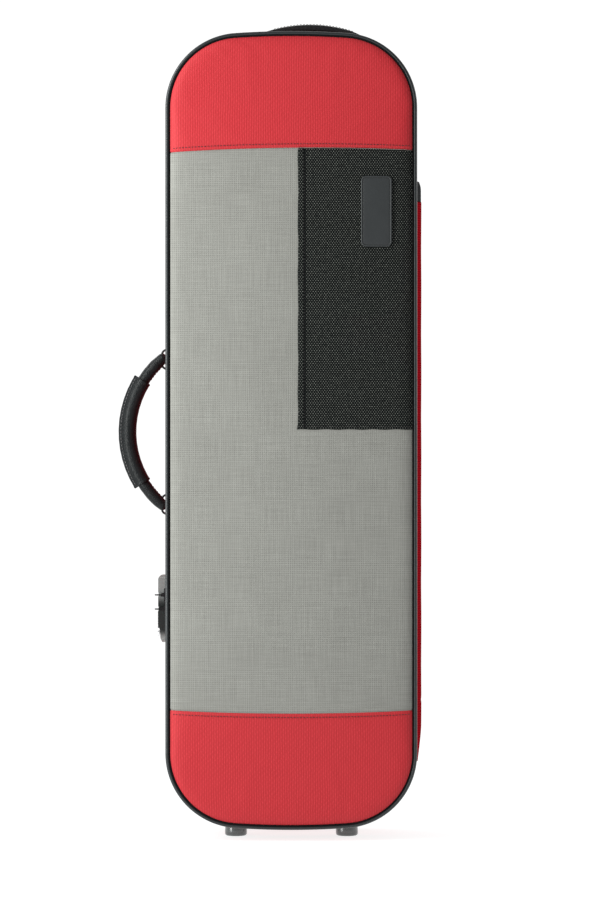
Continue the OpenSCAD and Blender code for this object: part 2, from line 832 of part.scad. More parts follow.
// Bail: a wire loop standing on the wall with a straight bar for the strap's eye.
module bail() {
    bend = bail_bend;
    washer_r = 2.6;
    washer_t = 0.7;
    for (side = [0, 1]) mirror([0, 0, side]) {
        translate([bail_out - bend, 0, bail_h - bail_r - bend]) rotate([90, 0, 0])
            rotate_extrude(angle = 90, $fn = 48) translate([bend, 0]) circle(bail_r, $fn = 24);
        translate([0, 0, bail_h - bail_r]) rotate([0, 90, 0])
            cylinder(r = bail_r, h = bail_out - bend, $fn = 24);
        translate([0, 0, bail_h - bail_r]) rotate([0, 90, 0]) difference() {
            cylinder(r = washer_r, h = washer_t, $fn = 32);
            translate([0, 0, -1]) cylinder(r = bail_r, h = washer_t + 2, $fn = 24);
        }
    }
    translate([bail_out, 0, -(bail_h - bail_r - bend)])
        cylinder(r = bail_r, h = 2 * (bail_h - bail_r - bend), $fn = 24);
}

module handle_bails() {
    color("black") place() for (side = [-1, 1]) {
        on_handle_side(handle_y, handle_z + side * bail_z) bail();
    }
}

eye_h = 2 * (bail_h - bail_r - bail_bend - hair);

// Arc of the handle in the x-z plane, drawn out by a section placed at its radius.
module handle_arc(angle) {
    translate([arc_out, 0, 0]) rotate([90, 0, 0]) rotate([0, 0, -angle])
        rotate_extrude(angle = 2 * angle, $fn = 120) translate([strap_arc_r, 0]) children();
}

// Rolled leather strap with an eye round each bail bar.
strap_eye_r = strap_r - 0.6;
module handle_strap() {
    color("#3c3f42") place() on_handle_side(handle_y, handle_z) difference() {
        union() {
            handle_arc(strap_angle) circle(strap_r, $fn = 48);
            for (side = [-1, 1]) {
                translate([bail_out, 0, side * bail_z])
                    cylinder(r = strap_eye_r, h = eye_h, center = true, $fn = 48);
            }
        }
        for (side = [0, 1]) mirror([0, 0, side]) {
            translate([bail_out, 0, bail_z])
                cylinder(r = bail_r + pin_gap, h = 2 * bail_h, center = true, $fn = 24);
            block([-beyond, -beyond, bail_z - bail_h - 2],
                  [bail_out + bail_r + run_gap, beyond, bail_z - eye_h / 2]);
            block([-beyond, -beyond, bail_z + eye_h / 2], [beyond, beyond, bail_z + beyond]);
        }
    }
}

// Leather wrapped round the strap: round on the hand's side, it narrows to a sewn outer edge.
module handle_grip() {
    color("#2e3033") place() on_handle_side(handle_y, handle_z) handle_arc(grip_angle) difference() {
        hull() {
            circle(grip_r, $fn = 48);
            translate([flange_out - flange_t / 2, 0]) circle(flange_t / 2, $fn = 48);
        }
        circle(strap_r, $fn = 48);
    }
}

// ---- top handle ----

// Height of the upper wall over the floor at a place across the case.
function top_wall(x) = abs(x) < crown_r * sin(crown_angle)
    ? shell_top - crown_r + sqrt(pow(crown_r - cover_in, 2) - x * x)
    : corner_high + sqrt(pow(corner_r - cover_in, 2) - pow(abs(x) - corner_x, 2));

// Slope of the upper wall at a place across the case, as an angle from level.
function wall_angle(x) = abs(x) < crown_r * sin(crown_angle)
    ? asin(x / (crown_r - cover_in))
    : sign(x) * asin((abs(x) - corner_x) / (corner_r - cover_in));

// Lower side of the strap: it leaves the wall at both ends and rises to top_rise in the middle.
top_root = 1;
top_arch = 0.75;
function top_strap(t) = let (x = top_x + t * top_l / 2)
    [x, top_wall(x) - top_root + (top_rise - top_t + top_root) * pow(1 - t * t, top_arch)];

module top_handle() {
    steps = 40;
    low = [for (i = [0 : steps]) top_strap(-1 + 2 * i / steps)];
    high = [for (i = [steps : -1 : 0]) low[i] + [0, top_t]];
    color("#191a1c") place() difference() {
        sink(top_y - top_w / 2, top_y + top_w / 2) polygon(concat(low, high));
        slab(cover_in, top_y - top_w, top_y + top_w);
        top_cap_blocks();
    }
}

cap_t = 4;
cap_l = 16;
cap_over = 4;
cap_side = 3;

// Blocks that hold the two end caps of the top handle.
module top_cap_blocks() {
    for (side = [-1, 1]) {
        x = top_x + side * (top_l / 2 + cap_l / 2 - cap_over);
        translate([x, top_y, top_wall(x)]) rotate([0, wall_angle(x), 0])
            cube([cap_l, top_w + 2 * cap_side, 10 * cap_t], center = true);
    }
}

module top_handle_caps() {
    color("#222326") place() intersection() {
        difference() {
            slab(cover_in - cap_t, top_y - top_w, top_y + top_w);
            slab(cover_in, top_y - top_w - 1, top_y + top_w + 1);
        }
        top_cap_blocks();
    }
}

// ---- feet ----

foot_ys = [foot_front_y, base_d - foot_rear_gap];

module feet() {
    top = foot_h + 10;
    edge = 0.9;
    edge_h = 1.2;
    waist_h = foot_h - 4;
    color("#2a2b2d") place() difference() {
        for (x = [-foot_x, foot_x], y = foot_ys) {
            translate([x, y, 0]) rotate_extrude($fn = 64)
                polygon([[0, 0], [foot_face_r, 0], [foot_face_r + edge, edge_h], [foot_r, waist_h],
                         [foot_r, top], [0, top]]);
        }
        slab(cover_in, -beyond, base_d + beyond);
    }
}

// ---- back ----

pocket_y = base_d + pocket_t;
pocket_zip_z = pocket_high_z - pocket_zip_drop;

// Flat pocket with a gusset: full outline at the panel, its face a little smaller.
module music_pocket() {
    step = 2;
    color("#8d8f8a") place() {
        sink(base_d, pocket_y - step)
            rounded([-pocket_w / 2, pocket_low_z], [pocket_w / 2, pocket_high_z], pocket_corner_r);
        sink(pocket_y - step, pocket_y)
            rounded([step - pocket_w / 2, pocket_low_z + step],
                    [pocket_w / 2 - step, pocket_high_z - step], pocket_corner_r - step);
    }
}

// Tape and coil of the pocket zip.
pocket_zip_gap = 24;
pocket_zip_l = pocket_w - 2 * pocket_zip_gap;
pocket_face_y = pocket_y + pocket_tape_t;
module pocket_zip() {
    coil_l = pocket_zip_l / 2 - 4;
    tape = tape_w + 1;
    color("#1c1d1f") place() {
        block([-pocket_zip_l / 2, pocket_y, pocket_zip_z - tape],
              [pocket_zip_l / 2, pocket_face_y, pocket_zip_z + tape]);
        block([-coil_l, pocket_face_y, pocket_zip_z - coil_w],
              [coil_l, pocket_face_y + pocket_coil_out, pocket_zip_z + coil_w]);
    }
}

pocket_slider_gap = 16;
pocket_slider_x = pocket_slider_gap - pocket_zip_l / 2;

// Puts a piece on the pocket zip: x outwards from the tape, z along the zip to the right.
module on_pocket() {
    translate([pocket_slider_x, pocket_face_y, pocket_zip_z]) rotate([0, 90, 0]) rotate([0, 0, 90])
        children();
}

module pocket_slider() {
    color("#2b2c2e") place() on_pocket() slider(pocket_coil_out, run_gap);
}

module pocket_pull() {
    color("black") place() on_pocket() translate([pocket_eye_out, 0, 0]) rotate([0, -90, 0])
        pull(0, pocket_pull_l, pocket_pull_w / 2);
}

ring_places = [[-ring_high_x, ring_high_z], [ring_high_x, ring_high_z],
               [-ring_low_x, ring_low_z], [ring_low_x, ring_low_z]];
webbing_w = 2 * (ring_r - ring_wire_r - 1);
loop_r = ring_wire_r + webbing_t + hair;
ring_y = base_d + loop_r;

// Webbing tab: folded round the ring's bar and sewn flat above it.
module ring_tab() {
    difference() {
        union() {
            translate([-webbing_w / 2, ring_y, 0]) rotate([0, 90, 0])
                cylinder(r = loop_r, h = webbing_w, $fn = 32);
            block([-webbing_w / 2, base_d, 0], [webbing_w / 2, base_d + webbing_t, webbing_l]);
        }
        translate([-webbing_w, ring_y, 0]) rotate([0, 90, 0])
            cylinder(r = ring_wire_r + pin_gap, h = 2 * webbing_w, $fn = 32);
    }
}

module d_ring_tabs() {
    color("black") place() for (p = ring_places) translate([p[0], 0, p[1]]) ring_tab();
}

// D-ring hanging from its bar.
module d_ring(i) {
    color("silver") place() translate([ring_places[i][0], ring_y, ring_places[i][1]]) {
        translate([-ring_r, 0, 0]) rotate([0, 90, 0]) cylinder(r = ring_wire_r, h = 2 * ring_r, $fn = 32);
        rotate([90, 0, 0]) rotate([0, 0, 180]) rotate_extrude(angle = 180, $fn = 64)
            translate([ring_r, 0]) circle(ring_wire_r, $fn = 32);
    }
}

// ---- lid shell ----

module lid_core() {
    color("burlywood") place() difference() {
        core_shell(-rim_gap, -(lid_d - pipe_d), front_core_y);
        slab(lining_in, front_lining_y, beyond);
    }
}

module lid_cover() {
    color("dimgray") place() difference() {
        slab(cover_in, -(lid_d - pipe_d), -rim_gap);
        slab(core_in, -lid_d, beyond);
        zip_side(-tape_w, beyond);
    }
}

module front_piping() {
    color("#303234") place() piping(-(lid_d - pipe_d / 2));
}

module lid_lining() {
    color("#5a1e26") place() difference() {
        slab(lining_in, front_lining_y, -rim_gap);
        slab(room_in, lid_floor_y, beyond);
    }
}

// Share of the swell left at a place t from -1 to 1 across the padding.
function swell_share(t, power) = 1 - pow(abs(t), power);

// Profile of the padding: places across a half width, and the depth of its face at each.
function swell_profile(half, power, layer, steps) =
    [for (i = [-steps : steps]) let (t = i / steps)
        [t * half, -(lid_d + dome_h * swell_share(t, power)) - layer]];

// Padded face of the front, raised by a further layer: it falls to the piping on all sides.
swell_across_power = 2.4;
swell_along_power = 4;
module swell(layer) {
    across = half_w - panel_in;
    along = case_h / 2 - panel_in;
    intersection() {
        slab(panel_in, -(lid_d + dome_h + layer + 1), front_core_y);
        linear_extrude(shell_top + foot_h)
            polygon(concat(swell_profile(across, swell_across_power, layer, 12),
                           [[across, 0], [-across, 0]]));
        translate([-half_w, 0, mid_z]) rotate([90, 0, 90]) linear_extrude(case_w)
            rotate(-90) mirror([1, 0])
                polygon(concat(swell_profile(along, swell_along_power, layer, 14),
                               [[along, 0], [-along, 0]]));
    }
}

module front_centre_panel() {
    color("#b0b2a8") place() intersection() {
        swell(0);
        block([-half_w, -3 * lid_d, seam_low_z], [half_w, 0, seam_high_z]);
    }
}

module front_end_panels() {
    color("#d8404c") place() difference() {
        swell(0);
        block([-half_w, -3 * lid_d, seam_low_z], [half_w, 0, seam_high_z]);
    }
}

module mesh_patch() {
    color("#26282a") place() difference() {
        intersection() {
            swell(mesh_t);
            block([mesh_x, -3 * lid_d, mesh_z], [half_w, 0, seam_high_z]);
        }
        swell(0);
    }
}

module badge_plate() {
    color("#3c4044") place() difference() {
        intersection() {
            swell(mesh_t + badge_t);
            sink(-3 * lid_d, 0) rounded([badge_x - badge_w / 2, badge_z - badge_h / 2],
                                        [badge_x + badge_w / 2, badge_z + badge_h / 2], badge_corner_r);
        }
        swell(mesh_t);
    }
}

// ---- bow holders ----

spinner_z = room_low + spinner_rise;
spinner_y = lid_floor_y + spinner_h;
spinner_pin_r = 2;
spinner_foot_t = 2.5;
rivet_r = 3.4;
rivet_t = 0.9;

module bow_spinner_bases() {
    rivet_low = spinner_h + clip_t + 0.3;
    color("black") place() for (side = [-1, 1]) translate([side * bow_x, lid_floor_y, spinner_z])
        rotate([-90, 0, 0]) {
            cylinder(r = spinner_foot_r, h = spinner_foot_t, $fn = 48);
            cylinder(r = spinner_post_r, h = spinner_h, $fn = 48);
            cylinder(r = spinner_pin_r, h = rivet_low + rivet_t, $fn = 32);
            translate([0, 0, rivet_low]) cylinder(r = rivet_r, h = rivet_t, $fn = 32);
        }
}

// Turning clip: a bar with round ends on the pivot of its base.
module bow_spinner(side) {
    under = 0.15;
    color("#1f2022") place() translate([side * bow_x, spinner_y + under, spinner_z])
        rotate([-90, 0, 0]) difference() {
            linear_extrude(clip_t - under) {
                square([clip_l - clip_w, clip_w], center = true);
                for (end = [-1, 1]) translate([end * (clip_l - clip_w) / 2, 0])
                    circle(clip_w / 2, $fn = 32);
                circle(clip_w / 2 + 2, $fn = 48);
            }
            translate([0, 0, -1]) cylinder(r = spinner_pin_r + pin_gap, h = clip_t + 2, $fn = 32);
        }
}

// Sewn pockets that hold the tips of the bows.
tip_z = room_high - tip_drop - tip_l;

module bow_tip_pockets() {
    room_w = tip_room_w / 2;
    out_w = room_w + tip_cloth_t;
    color("#6d2530") place() for (side = [-1, 1]) translate([side * bow_x, lid_floor_y, tip_z])
        difference() {
            block([-out_w, 0, 0], [out_w, tip_room_h + tip_cloth_t, tip_l]);
            block([-room_w, 0, -1], [room_w, tip_room_h, tip_l - tip_cloth_t]);
        }
}

base_core();
base_cover();
back_panel();
back_piping();
base_lining();
body_cradle();
neck_cradle();
neck_strap();
accessory_box();
hinge_base_leaves();
hinge_pins();
spine_base_band();
spine_end_tab();
zip_base_half();
zip_slider_upper();
zip_pull_upper();
zip_slider_lower();
zip_pull_lower();
lock_plate();
lock_housing();
lock_axle();
number_wheel(1);  // lock_wheel_1
number_wheel(2);  // lock_wheel_2
number_wheel(3);  // lock_wheel_3
lock_release();
handle_bails();
handle_strap();
handle_grip();
top_handle();
top_handle_caps();
feet();
music_pocket();
pocket_zip();
pocket_slider();
pocket_pull();
d_ring_tabs();
d_ring(0);  // d_ring_1
d_ring(1);  // d_ring_2
d_ring(2);  // d_ring_3
d_ring(3);  // d_ring_4
lid_core();
lid_cover();
front_centre_panel();
front_end_panels();
mesh_patch();
badge_plate();
front_piping();
lid_lining();
hinge_lid_leaves();
spine_lid_band();
zip_lid_half();
bow_spinner_bases();
bow_spinner(-1);  // bow_spinner_1
bow_spinner(1);  // bow_spinner_2
bow_tip_pockets();
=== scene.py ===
import math

import bmesh
import bpy
import numpy as np
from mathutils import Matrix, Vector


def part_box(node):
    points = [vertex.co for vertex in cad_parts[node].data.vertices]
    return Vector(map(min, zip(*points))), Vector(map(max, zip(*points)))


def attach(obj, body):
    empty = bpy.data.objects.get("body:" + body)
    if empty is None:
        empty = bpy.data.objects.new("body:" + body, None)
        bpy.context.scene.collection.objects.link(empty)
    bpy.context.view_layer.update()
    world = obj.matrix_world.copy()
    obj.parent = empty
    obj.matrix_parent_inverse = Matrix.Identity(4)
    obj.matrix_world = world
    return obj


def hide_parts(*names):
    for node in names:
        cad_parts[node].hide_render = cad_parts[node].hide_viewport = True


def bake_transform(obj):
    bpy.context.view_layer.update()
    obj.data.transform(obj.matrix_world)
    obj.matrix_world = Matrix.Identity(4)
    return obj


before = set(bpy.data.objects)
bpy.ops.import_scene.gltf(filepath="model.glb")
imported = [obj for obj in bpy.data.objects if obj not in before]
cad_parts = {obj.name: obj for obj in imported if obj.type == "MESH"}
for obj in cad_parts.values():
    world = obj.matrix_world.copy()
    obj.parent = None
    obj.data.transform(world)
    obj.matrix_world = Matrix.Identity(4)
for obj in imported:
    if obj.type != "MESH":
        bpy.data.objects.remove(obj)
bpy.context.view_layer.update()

# ---- Studio ----
# The case stands square to the camera on a white sweep that glows, most behind it and on the left. A
# soft box stands near it high on the left, a weak one on the right, and one behind lights its back.
MM = 0.001
piping_low, piping_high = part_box("front_piping")
MID_X = (piping_low.x + piping_high.x) / 2
LID_D = 42
PART_Y = piping_low.y + LID_D * MM
LOW_Z, HIGH_Z = piping_low.z / MM, piping_high.z / MM


def at(points):
    """From the case's own axes (millimetres from its middle, parting plane and floor) into the frame."""
    return np.asarray(points, float) * MM + (MID_X, PART_Y, 0)


aim = [9, -LID_D, 382]
view_height, view_distance = 0.878, 3.5
camera = bpy.data.objects.new("camera", bpy.data.cameras.new("camera"))
camera.data.lens = camera.data.sensor_width * view_distance / view_height
camera.location = at(aim) - (0, view_distance, 0)
camera.rotation_euler = (math.pi / 2, 0, 0)
bpy.context.scene.collection.objects.link(camera)
bpy.context.scene.camera = camera
bpy.context.scene.view_settings.view_transform = "Standard"


def soft_box(name, place, size, power, tint=(1, 1, 1)):
    """A rectangular lamp that looks at the middle of the case."""
    lamp = bpy.data.objects.new(name, bpy.data.lights.new(name, "AREA"))
    lamp.data.shape = "RECTANGLE"
    lamp.data.size, lamp.data.size_y = size
    lamp.data.energy = power
    lamp.data.color = tint
    lamp.location = place
    target = np.array([0, 0, 0.4]) - np.array(place)
    flat = math.hypot(target[0], target[1])
    lamp.rotation_euler = (math.pi / 2 + math.atan2(target[2], flat), 0, math.atan2(-target[0], target[1]))
    bpy.context.scene.collection.objects.link(lamp)


soft_box("key", (-0.66, -0.50, 0.62), (0.3, 1.3), 13, (0.97, 1.0, 0.98))
soft_box("fill", (2.2, 0.5, 0.8), (1.0, 1.4), 8)
soft_box("rim", (-1.0, 1.4, 1.6), (1.2, 1.0), 7)

world = bpy.data.worlds.new("white_room")
world.use_nodes = True
world.node_tree.nodes["Background"].inputs["Color"].default_value = (1, 1, 1, 1)
world.node_tree.nodes["Background"].inputs["Strength"].default_value = 0.7
bpy.context.scene.world = world


def node(tree, kind, inputs=None, **settings):
    """One shader node; inputs are values or other nodes' outputs by socket name or number."""
    made = tree.nodes.new("ShaderNode" + kind)
    for key, value in settings.items():
        setattr(made, key, value)
    for socket, value in (inputs or {}).items():
        if isinstance(value, bpy.types.NodeSocket):
            tree.links.new(value, made.inputs[socket])
        else:
            made.inputs[socket].default_value = value
    return made


def calc(tree, operation, a, b=0.0, c=0.0):
    """Output of one Math node."""
    return node(tree, "Math", {0: a, 1: b, 2: c}, operation=operation).outputs[0]


def tint_between(tree, share, a, b):
    """Colour between a and b, by a share from 0 to 1."""
    mix = node(tree, "Mix", data_type="RGBA")
    for socket, value in ((mix.inputs[0], share), (mix.inputs[6], a), (mix.inputs[7], b)):
        if isinstance(value, bpy.types.NodeSocket):
            tree.links.new(value, socket)
        else:
            socket.default_value = value if isinstance(value, float) else (*value, 1)
    return mix.outputs[2]


def object_place(tree):
    """Where a point is in the object's own axes, in metres."""
    return node(tree, "TexCoord").outputs["Object"]


def cloth_place(tree):
    """Where a point lies on its cloth, in millimetres along and across it."""
    return node(tree, "UVMap", uv_map="cloth").outputs[0]


def stretched(tree, place, scales):
    """A place with each of its axes scaled."""
    return node(tree, "Mapping", {0: place, 3: scales}).outputs[0]


def noise(tree, place, scale, detail=2.0, **others):
    """Value of one Noise Texture node; others are values of its other sockets."""
    sockets = {"Vector": place, "Scale": scale, "Detail": detail, **others}
    return node(tree, "TexNoise", sockets).outputs["Fac"]


def ramp(tree, value, low, high, start=0.0, end=1.0, kind="LINEAR"):
    """A share that goes from start to end while a value goes from low to high."""
    sockets = {0: value, 1: low, 2: high, 3: start, 4: end}
    return node(tree, "MapRange", sockets, interpolation_type=kind).outputs[0]


def sine(tree, length, period):
    """A sine wave along a length, whose unit is also the period's."""
    return calc(tree, "SINE", calc(tree, "MULTIPLY", length, 2 * math.pi / period))


def new_finish(name, **constants):
    """A material with a principled shader; constants are set on its own sockets."""
    material = bpy.data.materials.new(name)
    material.use_nodes = True
    tree = material.node_tree
    shader = tree.nodes["Principled BSDF"]
    for socket, value in constants.items():
        shader.inputs[socket.replace("_", " ")].default_value = value
    return material, tree, shader


def colour(tree, shader, share, a, b):
    """Gives a finish its colour between a and b, by a share from 0 to 1."""
    tree.links.new(tint_between(tree, share, a, b), shader.inputs["Base Color"])


def roughen(tree, shader, share, spread, least):
    """Gives a finish its roughness: the least, plus the spread times a share."""
    tree.links.new(calc(tree, "MULTIPLY_ADD", share, spread, least), shader.inputs["Roughness"])


def emboss(tree, shader, height, strength, distance):
    """Bends the light on a finish as if its surface had a height, scaled by a distance in metres."""
    bump = node(tree, "Bump", {"Strength": strength, "Distance": distance, "Height": height})
    tree.links.new(bump.outputs[0], shader.inputs["Normal"])


def build(name, points, faces, material, cloth=None):
    """A smooth mesh piece from points in the case's own axes. A closed piece's faces are turned outwards
    by the sign of the volume they shut in. cloth is a run and a width in millimetres for each corner of
    each face."""
    points = np.asarray(points, float)
    faces = [list(f) for f in faces]
    fans = np.array([(f[0], f[k], f[k + 1]) for f in faces for k in range(1, len(f) - 1)])
    a, b, c = (points[fans[:, k]] - points.mean(0) for k in range(3))
    turned = np.einsum("ij,ij->i", a, np.cross(b, c)).sum() < 0
    if turned:
        faces = [f[::-1] for f in faces]
    mesh = bpy.data.meshes.new(name)
    mesh.from_pydata(at(points).tolist(), [], faces)
    mesh.polygons.foreach_set("use_smooth", np.ones(len(mesh.polygons), bool))
    if cloth is not None:
        rows = [np.asarray(f)[::-1] if turned else np.asarray(f) for f in cloth]
        mesh.uv_layers.new(name="cloth").data.foreach_set("uv", np.concatenate(rows).ravel())
    mesh.materials.append(material)
    mesh.update()
    piece = bpy.data.objects.new(name, mesh)
    bpy.context.scene.collection.objects.link(piece)
    return piece


def grid_faces(rows, columns, wrap_rows=False, wrap_columns=False):
    """Quads between neighbouring points of a grid kept row by row, and each corner's row and column."""
    i = np.arange(rows if wrap_rows else rows - 1)
    j = np.arange(columns if wrap_columns else columns - 1)
    i, j = (g.ravel() for g in np.meshgrid(i, j, indexing="ij"))
    steps = [(0, 0), (1, 0), (1, 1), (0, 1)]
    quads = np.stack([(i + di) % rows * columns + (j + dj) % columns for di, dj in steps], 1)
    corners = np.stack([np.stack([i + di, j + dj], 1) for di, dj in steps], 1)
    return quads, corners


def grid_border(rows, columns):
    """Numbers of the points round the edge of a grid, in order."""
    index = np.arange(rows * columns).reshape(rows, columns)
    return np.concatenate([index[0], index[1:, -1], index[-1, -2::-1], index[-2:0:-1, 0]])


def slab_faces(rows, columns):
    """Faces of a closed slab between two grids, whose points follow each other: the first grid, walls
    between the borders, and the second grid turned round."""
    border, quads = grid_border(rows, columns), grid_faces(rows, columns)[0]
    behind = border + rows * columns
    walls = np.stack([border, np.roll(border, -1), np.roll(behind, -1), behind], 1)
    return np.concatenate([quads, walls, quads[:, ::-1] + rows * columns])


def tube(name, rings, material, closed=False, run=None, girth=None):
    """A closed skin over rings of points (ring, point, xyz). An open row of rings gets a flat cap at each
    end. run and girth give the cloth's millimetres at each ring and round each ring."""
    rings = np.asarray(rings, float)
    rows, columns = rings.shape[:2]
    quads, corners = grid_faces(rows, columns, closed, True)
    if run is None:
        steps = np.linalg.norm(np.diff(rings.mean(1), axis=0, append=rings.mean(1)[:1]), axis=1)
        run = np.concatenate([[0], np.cumsum(steps)])
    if girth is None:
        steps = np.linalg.norm(np.roll(rings[0], -1, 0) - rings[0], axis=1)
        girth = np.concatenate([[0], np.cumsum(steps)])
    cloth = np.stack([np.asarray(run)[corners[..., 0]], np.asarray(girth)[corners[..., 1]]], -1)
    faces, cloth = list(quads), list(cloth)
    if not closed:
        for row in (0, rows - 1):
            ring = np.arange(columns) + row * columns
            faces.append(ring if row == 0 else ring[::-1])
            around = np.stack([np.full(columns, run[row]), girth[:columns]], 1)
            cloth.append(around if row == 0 else around[::-1])
    return build(name, rings.reshape(-1, 3), faces, material, cloth)


def small_tubes(name, points, material):
    """Many small closed tubes in one piece, from their points by tube, ring and place in the ring."""
    count, rows, columns = points.shape[:3]
    quads, _ = grid_faces(rows, columns, False, True)
    ring = np.arange(columns)
    one = [*quads, ring, ring[::-1] + (rows - 1) * columns]
    faces = [(face + rows * columns * k).tolist() for k in range(count) for face in one]
    return build(name, points.reshape(-1, 3), faces, material)


angles = np.linspace(0, 2 * math.pi, 97)[:-1]
sweep_r, sweep_z = np.transpose([(0.0, 0.0), (2.2, 0.0), (5.0, 0.0), (9.7, 0.18), (11.0, 0.9), (11.7, 2.3),
                                 (12.0, 4.6), (12.0, 13.8)])
sweep = np.stack([np.outer(sweep_r, np.cos(angles)), np.outer(sweep_r, np.sin(angles)),
                  np.outer(sweep_z, np.ones(len(angles)))], -1)
floor_glow, side_glow, back_glow, left_lean = 0.82, 0.46, 0.62, -0.022
paper, tree, shader = new_finish("white_paper", Roughness=0.95, Specular_IOR_Level=0.0)
parts = node(tree, "SeparateXYZ", {0: object_place(tree)})
level = node(tree, "CombineXYZ", {0: parts.outputs["X"], 1: parts.outputs["Y"]}).outputs[0]
radius = node(tree, "VectorMath", {0: level}, operation="LENGTH").outputs["Value"]
far = ramp(tree, radius, 1.6, 4.2, kind="SMOOTHSTEP")
behind = ramp(tree, parts.outputs["Y"], -2.5, 4.5, kind="SMOOTHSTEP")
leftward = calc(tree, "MULTIPLY", parts.outputs["X"], left_lean)
added = calc(tree, "MULTIPLY", behind, calc(tree, "SUBTRACT", back_glow, leftward))
glow = calc(tree, "ADD", calc(tree, "ADD", side_glow, leftward), added)
near = calc(tree, "MULTIPLY", calc(tree, "SUBTRACT", 1.0, far), floor_glow)
strength = calc(tree, "ADD", calc(tree, "MULTIPLY", far, glow), near)
tree.links.new(strength, shader.inputs["Emission Strength"])
shader.inputs["Emission Color"].default_value = (1, 1, 1, 1)
colour(tree, shader, far, (0.3, 0.32, 0.32), (0.0, 0.0, 0.0))
paper.cycles.emission_sampling = "NONE"
floor_mesh = bpy.data.meshes.new("floor")
floor_faces = grid_faces(len(sweep_r), len(angles), False, True)[0][:, ::-1]
floor_mesh.from_pydata(sweep.reshape(-1, 3).tolist(), [], floor_faces.tolist())
floor_mesh.polygons.foreach_set("use_smooth", np.ones(len(floor_mesh.polygons), bool))
floor_mesh.materials.append(paper)
floor = bpy.data.objects.new("floor", floor_mesh)
bpy.context.scene.collection.objects.link(floor)

# ---- Outline ----
# Both shells have one outline over the piping: straight sides, four round corners and two ends with a
# gentle crown. The zip runs from the spine's upper end round to its lower end.
HALF_W, CORNER_R, CROWN_R = 123, 73, 800
SPINE_TOP, SPINE_LOW = 646, 76
CORNER_X = HALF_W - CORNER_R
CROWN_DZ = math.sqrt((CROWN_R - CORNER_R) ** 2 - CORNER_X ** 2)
TILT = math.asin(CORNER_X / (CROWN_R - CORNER_R))
CORNER_LOW, CORNER_HIGH = LOW_Z + CROWN_R - CROWN_DZ, HIGH_Z - CROWN_R + CROWN_DZ
MID_Z = (LOW_Z + HIGH_Z) / 2


def rim(step, whole=True):
    """Points along the outline, about a step apart, anticlockwise from the spine's upper end, as x, z,
    outward x and outward z, and the run along them. An arc is its centre plus its radius along an angle.
    It comes back to its start if whole, and ends at the spine's lower end if not."""
    low_turn = math.asin((SPINE_LOW - CORNER_LOW) / CORNER_R)
    arcs = [(CORNER_X, CORNER_HIGH, CORNER_R, 0, math.pi / 2 - TILT),
            (0, HIGH_Z - CROWN_R, CROWN_R, math.pi / 2 - TILT, math.pi / 2 + TILT),
            (-CORNER_X, CORNER_HIGH, CORNER_R, math.pi / 2 + TILT, math.pi),
            (-CORNER_X, CORNER_LOW, CORNER_R, math.pi, 1.5 * math.pi - TILT),
            (0, LOW_Z + CROWN_R, CROWN_R, 1.5 * math.pi - TILT, 1.5 * math.pi + TILT),
            (CORNER_X, CORNER_LOW, CORNER_R, 1.5 * math.pi + TILT, 2 * math.pi + low_turn)]
    if whole:
        arcs.append((CORNER_X, CORNER_LOW, CORNER_R, 2 * math.pi + low_turn, 2 * math.pi))
    parts = [np.array([[HALF_W, SPINE_TOP, 1, 0]])]
    for x, z, r, start, end in arcs:
        a = np.linspace(start, end, max(2, math.ceil(r * (end - start) / step)) + 1)
        parts.append(np.stack([x + r * np.cos(a), z + r * np.sin(a), np.cos(a), np.sin(a)], 1))
    if whole:
        parts.append(np.array([[HALF_W, SPINE_TOP, 1, 0]]))
    filled = [parts[0]]
    for part in parts[1:]:
        gap = np.linalg.norm(part[0, :2] - filled[-1][-1, :2])
        if gap > step:
            t = np.linspace(0, 1, math.ceil(gap / step) + 1)[1:-1, None]
            filled.append(filled[-1][-1] * (1 - t) + part[0] * t)
            filled.append(part)
        else:
            filled.append(part[1:] if gap < 1e-6 else part)
    path = np.concatenate(filled)
    run = np.concatenate([[0], np.cumsum(np.linalg.norm(np.diff(path[:, :2], axis=0), axis=1))])
    return (path[:-1], run) if whole else (path, run)


def along(path, profile):
    """Rings of a profile carried along the outline. A profile's point is its inset from the outline and
    its depth; it may also be given for each place on the path."""
    profile = np.broadcast_to(profile, (len(path), *np.shape(profile)[-2:]))
    inset, depth = profile[..., 0], profile[..., 1]
    return np.stack([path[:, :1] - path[:, 2:3] * inset, depth, path[:, 1:2] - path[:, 3:4] * inset], -1)


# ---- Shell cores ----
# The stiff shells are bent poplar plywood. Only the edges of their rims show, between the outer cloth
# and the velvet, when the lid is open.
plywood, tree, shader = new_finish("plywood_edge", Roughness=0.6)
place = object_place(tree)
depth = node(tree, "SeparateXYZ", {0: place}).outputs["Y"]
ply_t = 0.0028
ply = calc(tree, "PINGPONG", calc(tree, "MULTIPLY", depth, 1 / ply_t), 1.0)
fleck = noise(tree, place, 900.0, 3.0)
share = calc(tree, "ADD", calc(tree, "MULTIPLY", ply, 0.6), calc(tree, "MULTIPLY", fleck, 0.4))
colour(tree, shader, share, (0.42, 0.25, 0.12), (0.62, 0.43, 0.24))
emboss(tree, shader, fleck, 0.3, 0.0003)


def dress(material, *nodes):
    """Gives CAD nodes a finish."""
    for name in nodes:
        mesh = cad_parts[name].data
        mesh.materials.clear()
        mesh.materials.append(material)


dress(plywood, "base_core", "lid_core")


